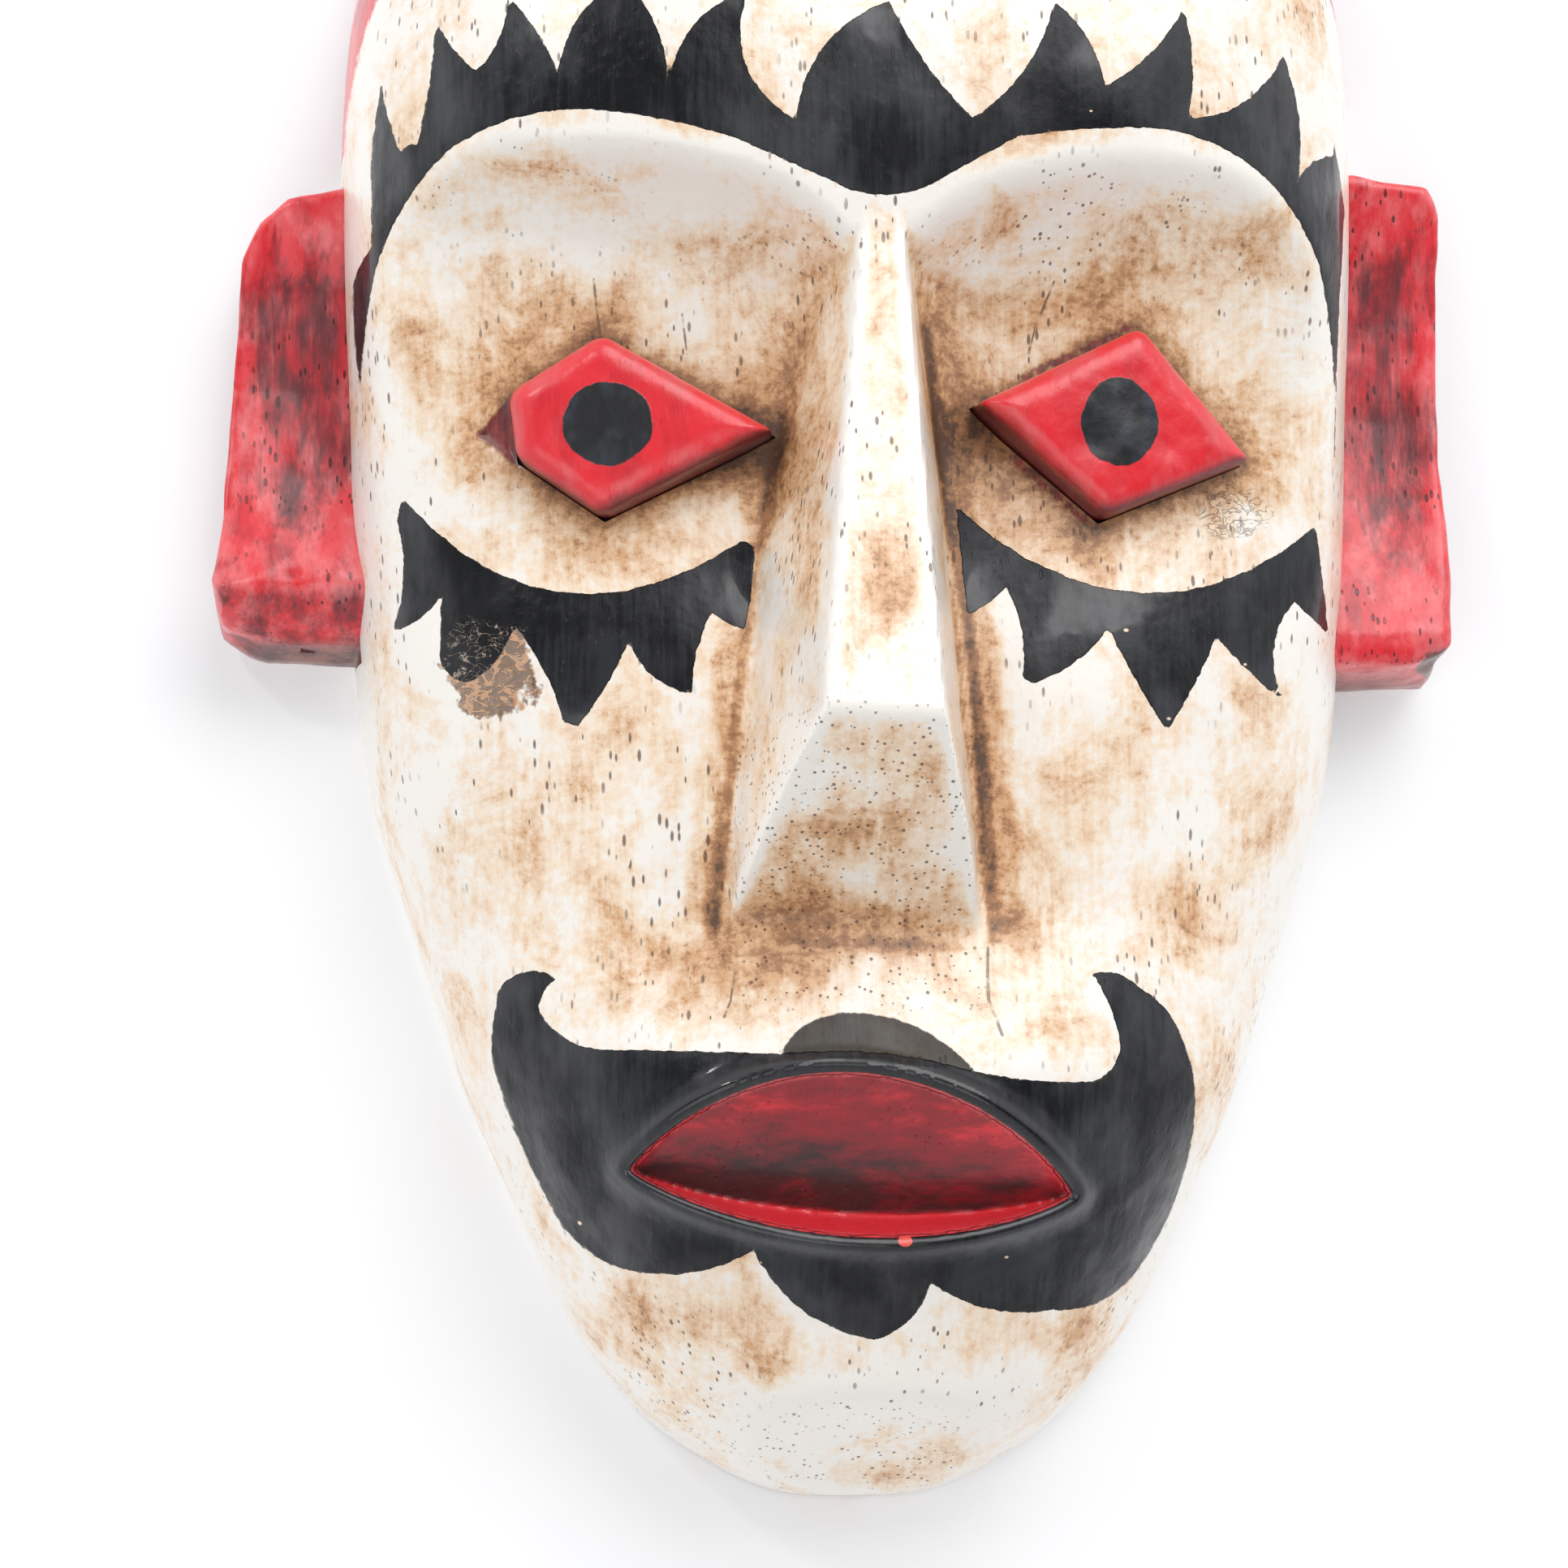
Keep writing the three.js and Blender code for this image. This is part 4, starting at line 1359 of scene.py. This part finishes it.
def red_paint(name, ear):
    """Scarlet paint with black rubbed into it, for the eyes and the ears, with painted shade on their lower
    and hollow parts and painted highlights on their edges.
    """
    shader = Shader(name)
    dirt = pores(shader, None, 0.8)
    rub = shader.noise((7, 7, 24), 7, 0.62, 2.0, 0.3)
    colour = shader.mix(shader.times(shader.step(0.42, 0.74, rub), 1.0 if ear else 0.5), SCARLET, CRIMSON)
    wear = shader.noise((6, 6, 12), 5, 0.6, 9.0)
    if ear:
        cavity = shader.attribute("cavity")
        fine = shader.uneven(shader.noise((0.9, 0.9, 12), 4, 0.6, 14.0), 0.8)
        # The stored rub brings in painted shade: the ear's scooped hollow and the left ear's lower facet.
        black = shader.add(shader.times(shader.attribute("rub"), 0.62), shader.uneven(rub, 2.0))
        black = shader.add(shader.add(black, fine), shader.times(shader.math("MAXIMUM", cavity, 0.0), 0.8))
        colour = shader.mix(shader.times(shader.step(0.42, 0.66, wear), 0.55), colour, PINK)
        colour = shader.mix(shader.times(shader.step(0.15, 1.0, black), 0.92), colour, MAROON)
        # Pink on the ear's sharp outer edges where the wear noise is high: partly worn paint, partly a
        # painted highlight.
        edge = shader.times(shader.step(-0.18, -0.6, cavity), shader.step(0.42, 0.6, wear))
        colour = shader.mix(shader.times(edge, 0.5), colour, PINK)
        under = shader.times(shader.attribute("sole"), 0.85)
        bare_sole = shader.mix(shader.step(0.4, 0.6, rub), SOLE_BROWN, SOLE_BLACK)
        colour = shader.mix(under, colour, bare_sole)
        if name.startswith("right"):
            chip = shader.add(shader.attribute("chip"), shader.uneven(wear, 1.6))
            chipped = shader.times(shader.step(1.05, 0.8, chip), 0.9)
            colour = shader.mix(chipped, colour, CHIPPED_WOOD)
        colour = shader.mix(shader.times(dirt, 0.85), colour, RED_DIRT)
        relief = shader.math("SUBTRACT", 1.0, dirt)
        roughness = shader.blend(shader.step(0.2, 0.9, black), 0.34, 0.5)
    else:
        # Painted highlight: pink along the band round the block's bevel, broken up by the rub noise.
        edge = shader.add(shader.attribute("edge"), shader.uneven(wear, 3.0))
        band = shader.step(-5.6, -3.6, edge)
        rubbed = shader.times(band, shader.times(shader.step(0.42, 0.66, rub), 0.3))
        colour = shader.mix(rubbed, colour, PINK)
        # Painted shade: maroon deepening down the block's bevel and sides, and most on faces turned down and
        # to the right.
        facing = shader.node("ShaderNodeTexCoord").outputs["Normal"]
        painted_shade_facing = shader.vector("DOT_PRODUCT", {0: facing, 1: (0.45, 0, -0.9)}, 1)
        low = shader.add(shader.attribute("depth"), shader.uneven(wear, 4.0))
        low = shader.math("MULTIPLY_ADD", painted_shade_facing, 4.5, low)
        colour = shader.mix(shader.times(shader.step(1.8, 6.5, low), 0.9), colour, MAROON)
        colour = shader.mix(shader.times(dirt, 0.25), colour, MAROON)
        ragged = shader.uneven(shader.noise((1.6, 1.6, 1.6), 3), 0.7)
        ink = shader.step(0.15, -0.15, shader.add(shader.attribute("ink"), ragged))
        blue_black = shader.mix(shader.step(0.45, 0.7, wear), BLACK, (0.020, 0.026, 0.038))
        colour = shader.mix(ink, colour, blue_black)
        relief = ink
        roughness = shader.blend(ink, 0.30, 0.36)
    normal = shader.bump(shader.noise((2.4, 2.4, 3.4), 3, 0.5, 31.0), 0.22)
    normal = shader.bump(shader.noise((0.6, 0.6, 9), 3, 0.55, 37.0), 0.05, normal)
    normal = shader.bump(relief, 0.25 if ear else 0.12, normal)
    return shader.finish(shader.calm(colour), roughness, normal, 0.4 if ear else 0.3, 0.22)


def mortise_paint():
    """What shows of the pockets that the eye blocks sit in: maroon paint over dark stained wood."""
    shader = Shader("mortise_paint")
    cloud = shader.noise((4, 4, 4), 5, 0.6, 3.0)
    colour = shader.mix(shader.step(0.40, 0.60, cloud), MAROON, SOOT)
    return shader.finish(colour, shader.blend(cloud, 0.4, 0.7), shader.bump(cloud, 0.3), 0.2, 0.3)


def bare_wood(name, dark):
    """Unpainted light wood, with its grain up the mask and some stain soaked in."""
    shader = Shader(name)
    bands = shader.noise((7, 7, 160), 4, 0.5, 3.0, 0.4)
    fibres = shader.noise((0.7, 0.7, 26), 5, 0.6, 6.0)
    soak = shader.noise((38, 38, 55), 5, 0.6, 9.0)
    value = shader.add(shader.times(bands, 0.55), shader.times(fibres, 0.45))
    light, deep = DARK_WOOD if dark else PALE_WOOD
    colour = shader.mix(shader.step(0.35, 0.65, value), light, deep)
    colour = shader.mix(shader.times(shader.step(0.52, 0.74, soak), 0.6), colour, (0.15, 0.08, 0.04))
    dirt = pores(shader, None)
    colour = shader.mix(shader.times(dirt, 0.8), colour, (0.09, 0.05, 0.028))
    normal = shader.bump(fibres, 0.16)
    normal = shader.bump(shader.math("SUBTRACT", 1.0, dirt), 0.3, normal)
    return shader.finish(colour, shader.blend(fibres, 0.62, 0.85), normal)


def zinc_plate():
    """Zinc-plated steel with faint yellow and grey cloudiness and fine scratches."""
    shader = Shader("zinc_plate")
    cloud = shader.noise((3.0, 3.0, 4.0), 4, 0.6, 2.0)
    scratch = shader.noise((0.25, 2.5, 5.0), 3, 0.6, 5.0)
    colour = shader.mix(shader.step(0.35, 0.7, cloud), (0.62, 0.62, 0.62), (0.46, 0.44, 0.38))
    colour = shader.mix(shader.times(shader.step(0.60, 0.78, cloud), 0.6), colour, (0.22, 0.17, 0.12))
    roughness = shader.blend(scratch, 0.26, 0.48)
    return shader.finish(colour, roughness, shader.bump(scratch, 0.03), metallic=1.0)


# ---------------------------------------------------------------- the mask


PAINTED, BARE, MORTISE = range(3)


def face_finishes(piece):
    """PAINTED, BARE or MORTISE for every face of the head."""
    count = len(piece.data.polygons)
    centres = np.empty(count * 3)
    piece.data.polygons.foreach_get("center", centres)
    x, proud, z = from_frame(centres.reshape(-1, 3)).T
    normals = np.empty(count * 3)
    piece.data.polygons.foreach_get("normal", normals)
    backwards = normals.reshape(-1, 3)[:, 1]
    egg = (x / HOLLOW["wide"]) ** 2 + (proud / HOLLOW["deep"]) ** 2
    egg += ((z - HOLLOW["z"]) / HOLLOW["tall"]) ** 2
    pocket = (np.abs(x) < POCKET["half_wide"] + 0.2) & (z > POCKET["low"] - 0.2) & (z < POCKET["high"] + 0.2)
    bare = ((proud < 0.5) & (backwards > 0.7)) | (egg < 1.01) | (pocket & (proud < POCKET["deep"] + 0.2))
    for ear in EARS.values():
        beside = (z > ear["low"] - 1) & (z < ear["high"] + 1) & (x * ear["side"] < EAR_ROOT)
        bare |= beside & (x * ear["side"] > EAR_ROOT - 12) & (proud < 25)
    mortise = np.zeros(count, bool)
    for corners in (LEFT_EYE, RIGHT_EYE):
        near = signed_distance(x, z, np.array(corners, float)) < 1.0
        mortise[near] = proud[near] < head_height(x[near], z[near]) - 0.8
    return np.select([bare, mortise], [BARE, MORTISE], PAINTED)


def painted_head():
    head = uncut_head()
    uncut = points_of(head)
    cavity = hollowness(head)
    cutters = [hollow_cutter(), pocket_cutter(), screw_cutter()]
    cutters += [mortise_cutter(LEFT_EYE, -1), mortise_cutter(RIGHT_EYE, 1)]
    cutters += peg_cutters()
    for ear in EARS.values():
        side, low, high = ear["side"], ear["low"] - 0.4, ear["high"] + 0.4
        near, far = side * (EAR_ROOT - 0.4), side * 170
        block = [(near, low), (far, low), (far, high), (near, high)]
        cutters.append(prism("rebate", np.array(block, float), EAR_BACK - 0.6, 24))
    cut_away(head, cutters)
    paint_head(head, uncut, cavity)
    head.data.materials.clear()
    for material in (head_paint(), bare_wood("bare_gouged_wood", True), mortise_paint()):
        head.data.materials.append(material)
    head.data.polygons.foreach_set("material_index", face_finishes(head).astype(np.int32))
    head.data.set_sharp_from_angle(angle=math.radians(42))
    return head


def dress(piece, material):
    piece.data.materials.clear()
    piece.data.materials.append(material)


def build_mask():
    head = painted_head()
    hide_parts("mask_body")
    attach(head, "mask")

    eye_paint = red_paint("red_eye_paint", ear=False)
    eyes = [
        ("left", LEFT_EYE, -1, ((-55.5, 229), (9.5, 9))),
        ("right", RIGHT_EYE, 1, ((52, 230), (8.5, 9.5))),
    ]
    for word, corners, side, pupil in eyes:
        eye = eye_block(f"{word}_eye_block", corners, side, pupil)
        dress(eye, eye_paint)
        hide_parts(f"{word}_eye")
        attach(eye, "mask")

    for word in EARS:
        ear = ear_piece(word)
        dress(ear, red_paint(f"{word}_ear_paint", ear=True))
        ear.data.set_sharp_from_angle(angle=math.radians(50))
        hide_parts(f"{word}_ear")
        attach(ear, "mask")

    peg_wood = bare_wood("peg_wood", False)
    plate = zinc_plate()
    for name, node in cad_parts.items():
        if name.endswith("_peg"):
            dress(node, peg_wood)
        elif name.startswith("hanger"):
            dress(node, plate)


# ---------------------------------------------------------------- floor, light and camera


def build_floor():
    """The white surface the mask lies on. From behind it is clear, so that the mask's back shows."""
    half, drop = 12.0, 0.0006
    mesh = bpy.data.meshes.new("white_floor")
    corners = [(-half, drop, -half), (half, drop, -half), (half, drop, half), (-half, drop, half)]
    mesh.from_pydata(corners, [], [(0, 1, 2, 3)])
    floor = bpy.data.objects.new("white_floor", mesh)
    bpy.context.scene.collection.objects.link(floor)
    shader = Shader("white_floor")
    speck = shader.noise((60, 60, 60), 3)
    shader.finish(shader.mix(speck, (0.88, 0.88, 0.89), (0.91, 0.91, 0.915)), 0.7, shader.bump(speck, 0.01))
    shader.put(shader.surface.inputs["Emission Color"], (0.93, 0.96, 1.0))
    shader.put(shader.surface.inputs["Emission Strength"], 0.12)
    clear = shader.node("ShaderNodeBsdfTransparent").outputs[0]
    behind = shader.node("ShaderNodeNewGeometry").outputs["Backfacing"]
    shadow = shader.node("ShaderNodeLightPath").outputs["Is Shadow Ray"]
    unseen = shader.math("MAXIMUM", behind, shadow)
    both = shader.node("ShaderNodeMixShader", {0: unseen, 1: shader.surface.outputs[0], 2: clear})
    shader.put(shader.output.inputs[0], both.outputs[0])
    dress(floor, shader.material)


# Each light's name, its width and place in metres, and its power in watts.
LIGHTS = [
    ("key", 1.8, (0.6, -1.6, 1.3), 22.5),
    ("low_fill", 1.6, (-0.5, -1.7, -0.9), 9),
    ("glint", 0.14, (-0.9, -1.3, 0.7), 2.5),
    ("back", 1.6, (-0.6, 1.8, 0.9), 16),
]


def add_light(name, size, place, power):
    light = bpy.data.lights.new(name, "AREA")
    light.shape = "DISK"
    light.size = size
    light.energy = power
    lamp = bpy.data.objects.new(name, light)
    lamp.location = place
    lamp.rotation_euler = (Vector((0, -0.03, -0.2)) - Vector(place)).to_track_quat("-Z", "Y").to_euler()
    bpy.context.scene.collection.objects.link(lamp)


def build_light():
    """A white tent that is dimmer round the camera, with a soft key light from the upper right."""
    world = bpy.data.worlds.new("studio")
    world.use_nodes = True
    tree = world.node_tree
    background = tree.nodes["Background"]
    background.inputs[0].default_value = (0.97, 0.98, 1.0, 1)
    place = tree.nodes.new("ShaderNodeTexCoord")
    facing = tree.nodes.new("ShaderNodeVectorMath")
    facing.operation = "DOT_PRODUCT"
    facing.inputs[1].default_value = (0, -1, 0)
    tree.links.new(place.outputs["Generated"], facing.inputs[0])
    patches = tree.nodes.new("ShaderNodeTexNoise")
    patches.inputs["Scale"].default_value = 1.7
    patches.inputs["Detail"].default_value = 1.0
    tree.links.new(place.outputs["Generated"], patches.inputs["Vector"])
    dim = tree.nodes.new("ShaderNodeMapRange")
    dim.interpolation_type = "SMOOTHSTEP"
    for index, value in ((1, 0.42), (2, 0.60), (3, 0.05), (4, 0.95)):
        dim.inputs[index].default_value = value
    tree.links.new(patches.outputs[0], dim.inputs[0])
    level = tree.nodes.new("ShaderNodeMapRange")
    level.interpolation_type = "SMOOTHSTEP"
    for index, value in ((1, 0.35), (2, 0.8), (3, 1.1)):
        level.inputs[index].default_value = value
    tree.links.new(facing.outputs["Value"], level.inputs[0])
    tree.links.new(dim.outputs[0], level.inputs[4])
    upwards = tree.nodes.new("ShaderNodeSeparateXYZ")
    tree.links.new(place.outputs["Generated"], upwards.inputs[0])
    from_below = tree.nodes.new("ShaderNodeMapRange")
    for index, value in ((1, -0.8), (2, 0.3), (3, 0.72), (4, 1.12)):
        from_below.inputs[index].default_value = value
    tree.links.new(upwards.outputs[2], from_below.inputs[0])
    dimmed = tree.nodes.new("ShaderNodeMath")
    dimmed.operation = "MULTIPLY"
    tree.links.new(level.outputs[0], dimmed.inputs[0])
    tree.links.new(from_below.outputs[0], dimmed.inputs[1])
    seen = tree.nodes.new("ShaderNodeLightPath")
    strength = tree.nodes.new("ShaderNodeMath")
    strength.operation = "MAXIMUM"
    tree.links.new(dimmed.outputs[0], strength.inputs[0])
    tree.links.new(seen.outputs["Is Camera Ray"], strength.inputs[1])
    tree.links.new(strength.outputs[0], background.inputs[1])
    bpy.context.scene.world = world
    for lamp in LIGHTS:
        add_light(*lamp)
    bpy.context.scene.view_settings.view_transform = "Standard"


CAMERA = {"azimuth": -5.0, "elevation": -6.0, "distance": 1100, "roll": -0.5, "frame_wide": 347.8}
LOOK_AT = (-15.3, 20, 157.3)


def build_camera():
    azimuth, elevation = math.radians(CAMERA["azimuth"]), math.radians(CAMERA["elevation"])
    away = Vector(
        (
            math.sin(azimuth) * math.cos(elevation),
            -math.cos(azimuth) * math.cos(elevation),
            math.sin(elevation),
        )
    )
    target = Vector(to_frame([LOOK_AT])[0])
    camera = bpy.data.objects.new("camera", bpy.data.cameras.new("camera"))
    camera.location = target + away * CAMERA["distance"] * MM
    roll = Matrix.Rotation(math.radians(CAMERA["roll"]), 3, "Z")
    turn = (-away).to_track_quat("-Z", "Y").to_matrix() @ roll
    camera.rotation_euler = turn.to_euler()
    camera.data.sensor_width = 36
    camera.data.lens = camera.data.sensor_width * CAMERA["distance"] / CAMERA["frame_wide"]
    bpy.context.scene.collection.objects.link(camera)
    bpy.context.scene.camera = camera


build_mask()
build_floor()
build_light()
build_camera()
